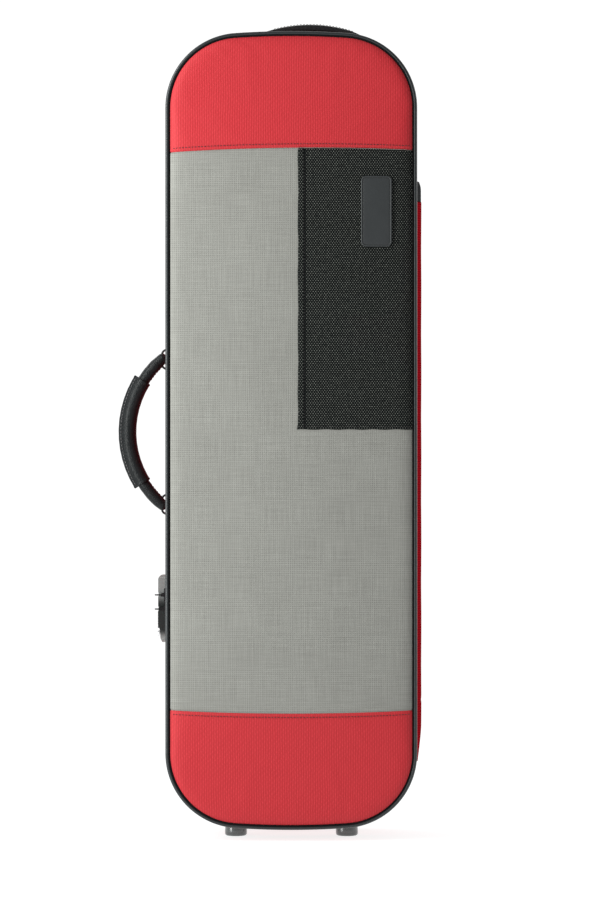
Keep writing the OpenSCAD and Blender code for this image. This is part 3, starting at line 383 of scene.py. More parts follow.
# ---- Side walls ----
# The sides of both shells are wrapped in ribbed red nylon. Each strip runs all the way round between
# the piping and the zip, is turned under in a narrow hem at both edges and topstitched along them.
def ribbed_nylon(name, light, dark, shine, nap):
    """Nylon woven with raised ribs along the cloth's length: ribs are a wave across it, and the fine
    weft is a second wave along each rib, which lightens and lifts it. Staggered light dashes on the
    rib crests are painted glints."""
    rib_pitch = 2.3
    material, tree, shader = new_finish(name, Roughness=0.6, Sheen_Weight=nap, Sheen_Roughness=0.4,
                                        Specular_IOR_Level=shine)
    cloth = cloth_place(tree)
    parts = node(tree, "SeparateXYZ", {0: cloth})
    u, v = parts.outputs["X"], parts.outputs["Y"]
    warped = calc(tree, "MULTIPLY_ADD", noise(tree, cloth, 0.035, 3.0), 2.2, u)
    rib, fine, weft = sine(tree, warped, rib_pitch), sine(tree, warped, 0.46), sine(tree, v, 0.55)
    height = calc(tree, "MULTIPLY_ADD", rib, 0.3, 0.5)
    height = calc(tree, "MULTIPLY_ADD", fine, 0.12, height)
    height = calc(tree, "MULTIPLY_ADD", weft, 0.1, height)
    # Staggered light dashes on the rib crests: painted glints.
    column = calc(tree, "FLOOR", calc(tree, "MULTIPLY", warped, 1 / rib_pitch))
    glint_spots = calc(tree, "MAXIMUM", sine(tree, calc(tree, "MULTIPLY_ADD", column, 3.1, v), 5.2), 0.0)
    painted_glint_dash = calc(tree, "MULTIPLY", calc(tree, "MAXIMUM", rib, 0.0), glint_spots)
    thread = noise(tree, stretched(tree, cloth, (1.6, 0.08, 1)), 1.0)
    share = calc(tree, "MULTIPLY_ADD", painted_glint_dash, 0.45, -0.28)
    share = calc(tree, "MULTIPLY_ADD", height, 0.7, share)
    share = calc(tree, "MULTIPLY_ADD", thread, 0.5, share)
    colour(tree, shader, share, dark, light)
    emboss(tree, shader, height, 0.45, 0.0003)
    return material


red_nylon = ribbed_nylon("red_nylon", (0.50, 0.022, 0.034), (0.33, 0.006, 0.010), 0.3, 0.08)
side_inset, side_t, hem_w = 1.5, 1.5, 7
tape_w, pipe_d, BASE_D = 10, 5, 88


def side_wall(name, near, far):
    """A strip between two depths: its outer face swells by a half sine between the hems, each hem
    stands out by its own thickness, and its inner face is flat."""
    hem_t, swell = 0.45, 0.35
    t = np.linspace(0, 1, 41)
    d = near + (far - near) * t
    edge = np.minimum(np.abs(d - near), np.abs(d - far))
    hem = hem_t / (1 + np.exp((edge - hem_w) / 0.25)) * np.minimum(1, edge / 0.8) ** 0.5
    outer = side_inset + 0.25 - hem - swell * np.sin(math.pi * t)
    path, run = rim(3.0)
    wave = 0.12 * np.sin(run[:-1, None] / 41) * np.sin(math.pi * t)
    wave = wave + 0.08 * np.sin(run[:-1, None] / 17 + 2 * t)
    inset = np.concatenate([outer + wave * (edge > hem_w), np.full((len(path), 2), side_inset + side_t)], 1)
    depth = np.broadcast_to(np.concatenate([d, [far, near]]), inset.shape)
    girth = np.concatenate([d, [far, near, near]])
    return tube(name, along(path, np.stack([inset, depth], -1)), red_nylon, True, run, girth)


base_wall = side_wall("base_side_wall", tape_w, BASE_D - pipe_d + 1)
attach(base_wall, "base")
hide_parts("base_cover")
lid_wall = side_wall("lid_side_wall", -tape_w, -(LID_D - pipe_d + 1))
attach(lid_wall, "lid")
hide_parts("lid_cover")


def sewing_thread(name, dark, light, **constants):
    """A finish for twisted thread: a diagonal wave darkens the grooves between its strands."""
    material, tree, shader = new_finish(name, **constants)
    sockets = {"Vector": object_place(tree), "Scale": 900.0}
    twist = node(tree, "TexWave", sockets, bands_direction="DIAGONAL").outputs["Fac"]
    colour(tree, shader, twist, dark, light)
    return material


thread_dark = sewing_thread("sewing_thread_dark", (0.012, 0.011, 0.012), (0.05, 0.045, 0.047),
                            Roughness=0.6, Specular_IOR_Level=0.2)


def stitch_row(name, line, outwards, pitch, length, width, material):
    """Stitches along a line of surface points: each is a short bent thread, a five-sided tube whose
    middle stands out of the cloth as a half sine and whose ends dip into it. outwards is one direction,
    or one for each point of the line."""
    sink = 0.1
    outwards = np.broadcast_to(np.asarray(outwards, float), line.shape)
    run = np.concatenate([[0], np.cumsum(np.linalg.norm(np.diff(line, axis=0), axis=1))])
    count = max(1, int(run[-1] / pitch))
    t = np.linspace(-0.5, 0.5, 5)
    where = (np.arange(count)[:, None] + 0.5) * run[-1] / count + t * length
    spots = np.stack([np.interp(where, run, line[:, k]) for k in range(3)], -1)
    up = np.stack([np.interp(where, run, outwards[:, k]) for k in range(3)], -1)
    up /= np.linalg.norm(up, axis=-1, keepdims=True)
    ahead = np.gradient(spots, axis=1)
    ahead /= np.linalg.norm(ahead, axis=-1, keepdims=True)
    across = np.cross(ahead, up)
    arch = (np.cos(math.pi * t) * (width * 0.5 + sink) - sink)[None, :, None]
    thick = (width / 2 * np.array([0.35, 0.85, 1, 0.85, 0.35]))[None, :, None, None]
    turn = np.arange(5) * 2 * math.pi / 5
    ring = (up[:, :, None] * np.cos(turn)[:, None] + across[:, :, None] * np.sin(turn)[:, None]) * thick
    return small_tubes(name, (spots + up * arch)[:, :, None] + ring, material)


def rim_stitches(name, body, depth):
    """A row of stitches round a side wall at a depth."""
    path, _ = rim(3.0)
    ring = along(path, [[side_inset - 0.18, depth]])[:, 0]
    outwards = np.stack([path[:, 2], np.zeros(len(path)), path[:, 3]], 1)
    ring, outwards = np.concatenate([ring, ring[:1]]), np.concatenate([outwards, outwards[:1]])
    row = stitch_row(name, ring, outwards, 3.4, 2.5, 0.55, thread_dark)
    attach(row, body)


rim_stitches("base_wall_stitches_zip", "base", tape_w + 5.2)
rim_stitches("lid_wall_stitches_zip", "lid", -tape_w - 5.2)
rim_stitches("base_wall_stitches_piping", "base", BASE_D - pipe_d - 4.6)
rim_stitches("lid_wall_stitches_piping", "lid", -(LID_D - pipe_d - 4.6))


# ---- Padded front ----
# The lid's face is thin foam under cloth: grey canvas in the middle and red nylon at both ends, sewn
# together along two gently bowed seams and drawn down all round where they meet the piping.
def inset_at(x, z):
    """How far inside the outline a place is: from the side or the crown, and in a corner from its arc."""
    dx, dz = np.abs(x) - CORNER_X, np.abs(z - MID_Z) - (CORNER_HIGH - MID_Z)
    side = HALF_W - np.abs(x)
    crown = CROWN_R - np.hypot(x, np.abs(z - MID_Z) - (HIGH_Z - CROWN_R - MID_Z))
    corner = CORNER_R - np.hypot(dx, dz)
    return np.where((dz > 0) & (dx > dz * math.tan(TILT)), corner, np.minimum(side, crown))


def end_height(x, inset):
    """Height of the upper end's outline over a place across the case, at an inset."""
    crown = HIGH_Z - CROWN_R + np.sqrt((CROWN_R - inset) ** 2 - x ** 2)
    past = np.maximum(np.abs(x) - CORNER_X, 0)
    corner = CORNER_HIGH + np.sqrt(np.maximum((CORNER_R - inset) ** 2 - past ** 2, 0))
    return np.where(np.abs(x) < (CROWN_R - inset) * math.sin(TILT), crown, corner)


def upper_seam(x):
    """Height of the upper seam: a shallow arch, a little lower on the left."""
    return 676.4 - 3.2 * (x / HALF_W) ** 2 + 1.3 * x / HALF_W


def lower_seam(x):
    """Height of the lower seam: a shallow dip in the middle."""
    return 125.2 + 3.2 * (x / HALF_W) ** 2


pad_inset, pad_low, pad_back = 5.0, 41.0, 40.5
pad_rise, dome, seam_drop = 4.2, 4.8, 0.7


def pad_depth(x, z):
    """Face of the padding: a quick round rise off the piping, then a crown across and along the case,
    less a narrow valley at each seam."""
    e = np.maximum(inset_at(x, z) - pad_inset, 0)
    across = 1 - np.abs(x / (HALF_W - pad_inset)) ** 2.4
    length = 1 - np.abs((z - MID_Z) / (HIGH_Z - MID_Z - pad_inset)) ** 4
    valley = sum(seam_drop * np.exp(-((z - seam(x)) / 1.3) ** 2) for seam in (upper_seam, lower_seam))
    return -(pad_low + pad_rise * (1 - np.exp(-e / 5.0)) + dome * across * np.maximum(length, 0) - valley)


corner_reach = HALF_W - pad_inset - CORNER_X
pad_end = CORNER_X + corner_reach * np.sin(np.linspace(0, math.pi / 2, 23)[1:])
PAD_X = np.concatenate([-pad_end[::-1], np.linspace(-CORNER_X, CORNER_X, 27), pad_end])


def pad_grid(low, high, rows, crowd_low, crowd_high):
    """Places of a panel between two edges given over its width; rows crowd towards an end that meets
    the piping as the sine of a quarter turn does."""
    t = np.linspace(0, 1, rows)[:, None]
    if crowd_high:
        t = 0.45 * t + 0.55 * np.sin(t * math.pi / 2)
    if crowd_low:
        t = 0.45 * t + 0.55 * (1 - np.cos(t * math.pi / 2))
    x = np.broadcast_to(PAD_X, (rows, len(PAD_X)))
    z = low(PAD_X) + t * (high(PAD_X) - low(PAD_X))
    return np.stack([x, pad_depth(x, z), z], -1)


def puff(points, pressure, most):
    """The panel's cloth under the push of its foam: Blender's cloth on the grid, pinned where it is sewn
    at its edges, with no gravity. The whole swelling is scaled down where it would rise more than most
    millimetres."""
    moments = 20
    rows, columns = points.shape[:2]
    mesh = bpy.data.meshes.new("cloth_trial")
    mesh.from_pydata(at(points.reshape(-1, 3)).tolist(), [], grid_faces(rows, columns)[0].tolist())
    trial = bpy.data.objects.new("cloth_trial", mesh)
    bpy.context.scene.collection.objects.link(trial)
    trial.vertex_groups.new(name="sewn").add(grid_border(rows, columns).tolist(), 1.0, "REPLACE")
    cloth = trial.modifiers.new("cloth", "CLOTH")
    cloth.settings.vertex_group_mass = "sewn"
    cloth.settings.use_pressure = True
    cloth.settings.uniform_pressure_force = pressure
    cloth.settings.effector_weights.gravity = 0
    cloth.settings.tension_stiffness = cloth.settings.compression_stiffness = 40
    cloth.settings.quality = 4
    cloth.collision_settings.use_collision = False
    cloth.point_cache.frame_start, cloth.point_cache.frame_end = 1, moments
    for moment in range(1, moments + 1):
        bpy.context.scene.frame_set(moment)
    shaped = trial.evaluated_get(bpy.context.evaluated_depsgraph_get()).to_mesh()
    found = np.empty(rows * columns * 3, np.float32)
    shaped.vertices.foreach_get("co", found)
    bpy.data.objects.remove(trial)
    bpy.context.scene.frame_set(1)
    moved = (found.reshape(points.shape) - at(points)) / MM
    return points + moved * min(1, most / np.linalg.norm(moved, axis=-1).max())


def finer(points):
    """The grid with a new point halfway between all neighbours, each on the cubic through four points."""
    for axis in (0, 1):
        p = np.moveaxis(points, axis, 0)
        ends = np.concatenate([2 * p[:1] - p[1:2], p, 2 * p[-1:] - p[-2:-1]])
        half = (9 * (ends[1:-2] + ends[2:-1]) - ends[:-3] - ends[3:]) / 16
        woven = np.empty((2 * len(p) - 1, *p.shape[1:]))
        woven[0::2], woven[1::2] = p, half
        points = np.moveaxis(woven, 0, axis)
    return points


def padded_panel(name, points, back, material):
    """A closed pad: the face, side walls from its edge to a flat back, and the back itself."""
    points = finer(points)
    rows, columns = points.shape[:2]
    edge = grid_border(rows, columns)
    face = points.reshape(-1, 3)
    rear = face[edge] * (1, 0, 1) + (0, back, 0)
    rear_edge = len(face) + np.arange(len(edge))
    quads, _ = grid_faces(rows, columns)
    walls = np.stack([edge, np.roll(edge, -1), np.roll(rear_edge, -1), rear_edge], 1)
    faces = [*quads.tolist(), *walls.tolist(), rear_edge.tolist()]
    everything = np.concatenate([face, rear])
    cloth = [everything[f][:, [0, 2]] for f in faces]
    return build(name, everything, faces, material, cloth)


red_face = ribbed_nylon("red_nylon_front", (0.535, 0.022, 0.034), (0.365, 0.007, 0.011), 0.35, 0.14)

canvas, tree, shader = new_finish("grey_canvas", Roughness=0.75, Sheen_Weight=0.2, Sheen_Roughness=0.5,
                                  Specular_IOR_Level=0.3)
cloth = cloth_place(tree)
parts = node(tree, "SeparateXYZ", {0: cloth})
warp = sine(tree, parts.outputs["X"], 2.1)
weft = sine(tree, parts.outputs["Y"], 2.0)
fine_warp = sine(tree, parts.outputs["X"], 0.7)
fine_weft = sine(tree, parts.outputs["Y"], 0.7)
coarse = calc(tree, "MULTIPLY_ADD", calc(tree, "MAXIMUM", warp, weft), 0.5, 0.5)
weave = calc(tree, "MULTIPLY_ADD", calc(tree, "MULTIPLY", fine_warp, fine_weft), 0.15, coarse)
slub = noise(tree, stretched(tree, cloth, (0.9, 0.03, 1)), 1.0, 4.0)
pick = noise(tree, stretched(tree, cloth, (0.03, 0.9, 1)), 1.0, 4.0)
broad = noise(tree, cloth, 0.012, 3.0)
share = calc(tree, "MULTIPLY_ADD", broad, 0.25, -0.70)
share = calc(tree, "MULTIPLY_ADD", pick, 0.65, share)
share = calc(tree, "MULTIPLY_ADD", slub, 0.65, share)
share = calc(tree, "MULTIPLY_ADD", weave, 0.55, share)
colour(tree, shader, share, (0.150, 0.147, 0.134), (0.292, 0.292, 0.268))
emboss(tree, shader, weave, 0.4, 0.0003)

centre = pad_grid(lower_seam, upper_seam, 121, False, False)
top = pad_grid(upper_seam, lambda x: end_height(x, pad_inset), 31, False, True)
bottom = pad_grid(lambda x: 2 * MID_Z - end_height(x, pad_inset), lower_seam, 31, True, False)
centre, top, bottom = (puff(p, pressure=2.0, most=1.6) for p in (centre, top, bottom))
for name, points, material, slot in (("front_centre_pad", centre, canvas, "grey_canvas"),
                                     ("front_upper_pad", top, red_face, "red_nylon"),
                                     ("front_lower_pad", bottom, red_face, "red_nylon")):
    panel = padded_panel(name, points, -pad_back, material)
    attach(panel, "lid")
    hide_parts("front_centre_panel" if slot == "grey_canvas" else "front_end_panels")


def on_front(x, z):
    """Depth of the finished centre panel at a place, between its four nearest grid points."""
    column = np.interp(x, PAD_X, np.arange(len(PAD_X)))
    share = (z - lower_seam(x)) / (upper_seam(x) - lower_seam(x)) * (len(centre) - 1)
    row = np.clip(share, 0, len(centre) - 1.001)
    i, j = row.astype(int), np.minimum(column.astype(int), len(PAD_X) - 2)
    a, b = row - i, column - j
    y = centre[..., 1]
    return (y[i, j] * (1 - a) * (1 - b) + y[i + 1, j] * a * (1 - b) + y[i, j + 1] * (1 - a) * b
            + y[i + 1, j + 1] * a * b)


for name, seam, away in (("upper_seam_stitches", upper_seam, 3.7),
                         ("lower_seam_stitches", lower_seam, -3.7)):
    x = np.linspace(-116, 116, 160)
    z = seam(x) + away
    line = np.stack([x, pad_depth(x, z) - 0.05, z], 1)
    row = stitch_row(name, line, (0, -1, 0), 3.1, 2.2, 0.7, thread_dark)
    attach(row, "lid")

# ---- Piping ----
# A vinyl-covered cord is sewn into the seam all round the front and the back. Its flange turns up against
# the cord's inner side, and its near-black dull finish is painted shade for the deep gap before the
# padding.
vinyl, tree, shader = new_finish("piping_vinyl", Roughness=0.24, Specular_IOR_Level=0.5)
place = object_place(tree)
grain = noise(tree, place, 700.0, 6.0)
patch = noise(tree, place, 18.0, 3.0)
share = calc(tree, "MULTIPLY_ADD", grain, 0.5, calc(tree, "MULTIPLY", patch, 0.5))
colour(tree, shader, share, (0.0035, 0.0050, 0.0060), (0.014, 0.018, 0.020))
roughen(tree, shader, grain, 0.2, 0.26)
emboss(tree, shader, grain, 0.25, 0.0002)
# The flange's near-black, dull colour is painted shade: it stands for the deep shadow in the gap before the
# padding.
shade_flange_tape, tree, shader = new_finish("piping_flange_painted_shade", Roughness=0.9, Specular_IOR_Level=0.1)
nap = noise(tree, object_place(tree), 1500.0)
colour(tree, shader, nap, (0.002, 0.002, 0.002), (0.008, 0.008, 0.009))

bead_w = 4.0
for name, body, node_name, depth, side in (
        ("front_piping_cord", "lid", "front_piping", -(LID_D - pipe_d / 2), -1),
        ("back_piping_cord", "base", "back_piping", BASE_D - pipe_d / 2, 1)):
    path, run = rim(2.5)
    turn = np.linspace(0, 2 * math.pi, 25)[:-1]
    bead = np.stack([bead_w / 2 * (1 - np.cos(turn)), depth + pipe_d / 2 * np.sin(turn)], 1)
    cord = tube(name, along(path, bead), vinyl, True, run)
    flange = [(3.0, 0.4), (pad_inset + 0.6, 0.4), (pad_inset + 0.6, 1.2),
              (4.15, 1.2), (3.6, 1.9), (3.0, 2.3)]
    flange = [[inset, depth + side * out] for inset, out in flange]
    strip = tube(name + "_flange", along(path, flange), shade_flange_tape, True, run)
    for piece in (cord, strip):
        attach(piece, body)
    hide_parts(node_name)

# ---- Mesh patch ----
# A patch of black air mesh is stretched over the right half of the grey canvas. Its left and lower
# edges are turned under and stitched down, and the others are caught in the seam and the piping.
air_mesh, tree, shader = new_finish("air_mesh", Roughness=0.75, Specular_IOR_Level=0.06)
parts = node(tree, "SeparateXYZ", {0: cloth_place(tree)})
row_h, hole_w, crease_shade_x = 1.75, 2.5, 13.0
row = calc(tree, "DIVIDE", parts.outputs["Y"], row_h)
odd = calc(tree, "MODULO", calc(tree, "FLOOR", row), 2.0)
step = calc(tree, "MULTIPLY_ADD", odd, 0.5, calc(tree, "DIVIDE", parts.outputs["X"], hole_w))
du = calc(tree, "MULTIPLY", calc(tree, "SUBTRACT", calc(tree, "FRACT", step), 0.5), hole_w)
dv = calc(tree, "MULTIPLY", calc(tree, "SUBTRACT", calc(tree, "FRACT", row), 0.5), row_h)
away = calc(tree, "SQRT", calc(tree, "ADD", calc(tree, "POWER", du, 2.0), calc(tree, "POWER", dv, 2.0)))
hole = ramp(tree, away, 0.30, 0.50, 1.0, 0.0, kind="SMOOTHSTEP")
uneven = noise(tree, cloth_place(tree), 0.35, 3.0)
shown = calc(tree, "MULTIPLY", hole, ramp(tree, uneven, 0.3, 0.75, 0.25, 1.0))
# Along the hem's stitched inner edge the light holes are hidden, leaving a narrow dark line: painted shade
# in the crease there.
crease_shade_away = calc(tree, "ABSOLUTE", calc(tree, "SUBTRACT", parts.outputs["X"], crease_shade_x))
shown = calc(tree, "MULTIPLY", shown, ramp(tree, crease_shade_away, 0.7, 1.5))
yarn = sine(tree, parts.outputs["Y"], 0.42)
share = calc(tree, "MULTIPLY_ADD", yarn, 0.5, 0.5)
knit = tint_between(tree, share, (0.0020, 0.0026, 0.0028), (0.0065, 0.0080, 0.0080))
colour(tree, shader, shown, knit, (0.26, 0.27, 0.24))
height = calc(tree, "SUBTRACT", calc(tree, "MULTIPLY", yarn, 0.15), hole)
emboss(tree, shader, height, 0.6, 0.0004)

patch_left, patch_right, patch_low = 6.5, 117.9, 402.0
patch_t, patch_sunk, hem_side, hem_low, fold_t = 0.7, 0.12, 6.6, 3.4, 0.6
rows, columns = 181, 71


def patch_edge(z):
    """The left edge of the mesh: nearly straight, drawn in a little by the stitches."""
    return patch_left + 0.22 * np.sin(z / 9.0) + 0.12 * np.sin(z / 3.7) - 1.6 * np.exp(-(z - patch_low) / 4)


t = np.linspace(0, 1, rows)[:, None]
u = np.concatenate([np.linspace(0, 0.075, 16), np.linspace(0.075, 1, columns - 15)[1:]])[None, :]
z = patch_low + t * (upper_seam(patch_left + u * (patch_right - patch_left)) - 0.6 - patch_low)
z = z + (1 - t) ** 20 * 0.25 * np.sin(u * 31)
x = patch_edge(z) + u * (patch_right - patch_edge(z))
under = on_front(x, z) - patch_sunk
side_hem = 1 / (1 + np.exp((x - patch_edge(z) - hem_side) / 0.35))
low_hem = 1 / (1 + np.exp(np.minimum((z - patch_low - hem_low) / 0.3, 60)))
edge = np.minimum(x - patch_edge(z), z - z[:1])
roll = np.clip(edge / 0.9, 0, 1) ** 0.5
dimple = 0.34 * np.exp(-((x - patch_edge(z) - hem_side + 0.4) / 0.7) ** 2)
over = under - (patch_t + fold_t * np.maximum(side_hem, low_hem) - dimple) * (0.25 + 0.75 * roll)
faces = slab_faces(rows, columns)
points = np.concatenate([np.stack([x, y, z], -1).reshape(-1, 3) for y in (over, under)])
mesh_patch = build("mesh_patch_cloth", points, faces, air_mesh, points[faces][..., [0, 2]])
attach(mesh_patch, "lid")
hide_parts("mesh_patch")


def on_patch(x, z):
    """Depth of the mesh's outer face at a place."""
    return on_front(x, z) - patch_sunk - patch_t


z_line = np.linspace(patch_low + 2, 671, 200)
x_line = patch_edge(z_line) + hem_side - 0.5
line = np.stack([x_line, on_patch(x_line, z_line) - 0.2, z_line], 1)
seam_side = stitch_row("mesh_patch_side_stitches", line, (0, -1, 0), 2.9, 2.1, 0.5, thread_dark)
x_line = np.linspace(patch_left + 4, patch_right - 1, 120)
z_line = np.full(120, patch_low + hem_low - 0.6)
line = np.stack([x_line, on_patch(x_line, z_line) - 0.4, z_line], 1)
seam_low = stitch_row("mesh_patch_low_stitches", line, (0, -1, 0), 2.9, 2.1, 0.5, thread_dark)
for row in (seam_side, seam_low):
    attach(row, "lid")

# ---- Badge ----
# A plain moulded rubber badge is stitched to the mesh through a groove that runs round it inside a
# raised border. Its face is bare.
rubber, tree, shader = new_finish("badge_rubber", Roughness=0.5, Specular_IOR_Level=0.5, Coat_Weight=0.1,
                                  Coat_Roughness=0.3)
place = object_place(tree)
fine = noise(tree, place, 1600.0, 3.0)
dusty = noise(tree, place, 60.0, 4.0)
share = calc(tree, "MULTIPLY_ADD", fine, 0.4, calc(tree, "MULTIPLY", dusty, 0.6))
colour(tree, shader, share, (0.010, 0.012, 0.013), (0.022, 0.026, 0.028))
emboss(tree, shader, fine, 0.2, 0.0002)


def rounded_ring(x0, z0, x1, z1, radius, inset, corner_steps=10):
    """Points round a rounded rectangle at an inset, as x and z: each corner is an arc about its own
    centre."""
    a = (np.arange(4)[:, None] * 90 + np.linspace(0, 90, corner_steps)[None]) * math.pi / 180
    centre_x = np.array([x1 - radius, x0 + radius, x0 + radius, x1 - radius])[:, None]
    centre_z = np.array([z1 - radius, z1 - radius, z0 + radius, z0 + radius])[:, None]
    r = max(radius - inset, 0.3)
    return np.stack([(centre_x + r * np.cos(a)).ravel(), (centre_z + r * np.sin(a)).ravel()], 1)


badge_box = (68.0, 580.0, 98.0, 649.0)
badge_r, groove_inset = 5.0, 1.75
badge_levels = [(0.3, -0.1), (0.0, 0.25), (0.0, 1.35), (0.25, 1.65), (0.6, 1.75), (1.2, 1.75), (1.5, 1.6),
                (1.6, 1.2), (1.9, 1.1), (2.1, 1.3), (2.4, 1.35), (4.2, 1.38)]
rings = []
for inset, rise in badge_levels:
    ring = rounded_ring(*badge_box, badge_r, inset)
    rings.append(np.stack([ring[:, 0], on_patch(ring[:, 0], ring[:, 1]) - rise, ring[:, 1]], 1))
badge = tube("badge", rings, rubber)
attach(badge, "lid")
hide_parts("badge_plate")
ring = rounded_ring(*badge_box, badge_r, groove_inset, 14)
ring = np.concatenate([ring, ring[:1]])
line = np.stack([ring[:, 0], on_patch(ring[:, 0], ring[:, 1]) - 1.12, ring[:, 1]], 1)
row = stitch_row("badge_stitches", line, (0, -1, 0), 2.4, 1.8, 0.35, thread_dark)
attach(row, "lid")

# ---- Zip ----
# Woven tapes are sewn in behind the hems of both walls. Each carries a nylon coil whose loops mesh over
# the parting plane. Both sliders meet beside the lock.
zip_tape, tree, shader = new_finish("zip_tape", Roughness=0.8, Sheen_Weight=0.2, Specular_IOR_Level=0.25)
parts = node(tree, "SeparateXYZ", {0: cloth_place(tree)})
slope = calc(tree, "PINGPONG", parts.outputs["Y"], 1.1)
twill = sine(tree, calc(tree, "ADD", parts.outputs["X"], slope), 0.7)
share = calc(tree, "MULTIPLY_ADD", twill, 0.5, 0.5)
colour(tree, shader, share, (0.006, 0.006, 0.007), (0.025, 0.025, 0.027))
emboss(tree, shader, twill, 0.5, 0.0003)
nylon_coil, tree, shader = new_finish("nylon_coil", Roughness=0.35, Specular_IOR_Level=0.5)
mottle = noise(tree, object_place(tree), 800.0)
colour(tree, shader, mottle, (0.008, 0.008, 0.009), (0.024, 0.024, 0.026))
roughen(tree, shader, mottle, 0.2, 0.25)


def coil(name, places, outwards, across, material):
    """A zip coil: at each place one bent loop. Its middle line climbs out of the tape, crosses towards
    the other half and dips at a widened head, and it is a five-sided tube round that line. A bend's
    values are millimetres across, outwards and of the tube's radius."""
    bend = np.array([[-3.0, -0.3, 0.34], [-2.9, 0.95, 0.38], [-2.2, 1.5, 0.4], [-0.5, 1.55, 0.38],
                     [0.35, 1.25, 0.5], [0.5, 0.5, 0.42]])
    outwards, across = (np.broadcast_to(np.asarray(v, float), places.shape) for v in (outwards, across))
    ahead = np.cross(across, outwards)
    middle = places[:, None] + across[:, None] * bend[None, :, :1] + outwards[:, None] * bend[None, :, 1:2]
    forward = np.gradient(bend[:, :2], axis=0)
    forward /= np.linalg.norm(forward, axis=1, keepdims=True)
    side = -across[:, None] * forward[None, :, 1:] + outwards[:, None] * forward[None, :, :1]
    turn = (np.arange(5) + 0.5) * 2 * math.pi / 5
    spin_a, spin_b = np.cos(turn)[None, None, :, None], np.sin(turn)[None, None, :, None]
    thick = bend[None, :, 2, None, None]
    points = middle[:, :, None] + (side[:, :, None] * spin_a + ahead[:, None, None] * spin_b * 0.9) * thick
    return small_tubes(name, points, material)


zip_path, zip_run = rim(2.0, False)
coil_pitch = 1.6
for body, side, first in (("base", 1, 0.25), ("lid", -1, 0.75)):
    tape_ring = np.array([[2.6, 0.15], [1.95, 0.3], [1.85, 1.5], [1.85, 9.9], [2.9, 9.9], [2.9, 0.15]])
    tape = tube("zip_tape_" + body, along(zip_path, tape_ring * (1, side)), zip_tape, False, zip_run)
    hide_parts("zip_base_half" if side > 0 else "zip_lid_half")
    where = (np.arange(int(zip_run[-1] / coil_pitch) - 2) + 1 + first) * coil_pitch
    spot = np.stack([np.interp(where, zip_run, zip_path[:, k]) for k in range(4)], 1)
    outwards = np.stack([spot[:, 2], np.zeros(len(spot)), spot[:, 3]], 1)
    places = np.stack([spot[:, 0], np.zeros(len(spot)), spot[:, 1]], 1) - outwards * 1.5
    loops = coil("zip_coil_" + body, places, outwards, (0, -side, 0), nylon_coil)
    for piece in (tape, loops):
        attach(piece, body)

black_metal, tree, shader = new_finish("black_metal", Metallic=0.85, Roughness=0.35, Coat_Weight=0.3,
                                       Coat_Roughness=0.15)
worn = noise(tree, object_place(tree), 350.0, 6.0, Roughness=0.7)
rubbed = ramp(tree, worn, 0.55, 0.75)
colour(tree, shader, rubbed, (0.012, 0.012, 0.013), (0.10, 0.10, 0.105))
roughen(tree, shader, worn, 0.3, 0.2)
dress(black_metal, "zip_slider_upper", "zip_slider_lower", "zip_pull_upper", "zip_pull_lower",
      "pocket_slider", "pocket_pull", "handle_bails")

# ---- Spine and hinges ----
# Three steel butt hinges join the shells behind a padded strip of red cloth that lies over the
# knuckles. A black end piece covers where the strip starts above the upper hinge.
steel, tree, shader = new_finish("brushed_steel", Metallic=1.0, Roughness=0.32)
brushed = noise(tree, stretched(tree, object_place(tree), (900, 900, 30)), 1.0, 4.0)
colour(tree, shader, brushed, (0.38, 0.38, 0.39), (0.66, 0.66, 0.67))
roughen(tree, shader, brushed, 0.3, 0.2)
emboss(tree, shader, brushed, 0.1, 0.0001)
dress(steel, "hinge_base_leaves", "hinge_lid_leaves", "hinge_pins",
      "d_ring_1", "d_ring_2", "d_ring_3", "d_ring_4")

dark_red = ribbed_nylon("spine_cloth", (0.38, 0.008, 0.015), (0.18, 0.003, 0.006), 0.0, 0.0)
black_vinyl, tree, shader = new_finish("spine_end_vinyl", Roughness=0.8, Specular_IOR_Level=0.1)
pebble = node(tree, "TexVoronoi", {"Vector": object_place(tree), "Scale": 900.0}).outputs["Distance"]
colour(tree, shader, pebble, (0.004, 0.004, 0.005), (0.014, 0.014, 0.015))
emboss(tree, shader, pebble, 0.3, 0.0003)

WALL_X = HALF_W - side_inset
pin_r = 1.2
AXIS_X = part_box("hinge_pins")[0].x / MM - MID_X / MM + pin_r
crest_x, cloth_t, spine_half = AXIS_X + 3.75, 0.7, 26
flat_end = SPINE_LOW + 36


def spine_skin(name, z, crest, material):
    """A strip over the hinges at heights z, with a crest for each: its outer face is flat over the
    knuckles, then falls on both sides to the walls as a cosine. The inner face lies one cloth inside."""
    side_y = np.linspace(6, spine_half, 18)
    y = np.concatenate([-side_y[::-1], np.linspace(-6, 6, 17)[1:-1], side_y])
    t = np.clip((np.abs(y) - 5.5) / (spine_half - 5.5), 0, 1)
    fall = 0.5 + 0.5 * np.cos(math.pi * t ** 0.85)
    hem = 0.35 / (1 + np.exp((spine_half - np.abs(y) - 4) / 0.3))
    outer = WALL_X + 0.85 + hem + (crest[:, None] - WALL_X - 0.85) * fall
    outer = outer + 0.12 * np.sin(z[:, None] / 13 + 0.4 * y) * fall
    inner = np.maximum(outer - cloth_t, WALL_X + 0.12)
    ring_x = np.concatenate([outer, inner[:, ::-1]], 1)
    ring_y = np.broadcast_to(np.concatenate([y, y[::-1]]), ring_x.shape)
    ring_z = np.broadcast_to(z[:, None], ring_x.shape)
    girth = np.concatenate([y, y[::-1], y[:1]])
    return tube(name, np.stack([ring_x, ring_y, ring_z], -1), material, False, z, girth)


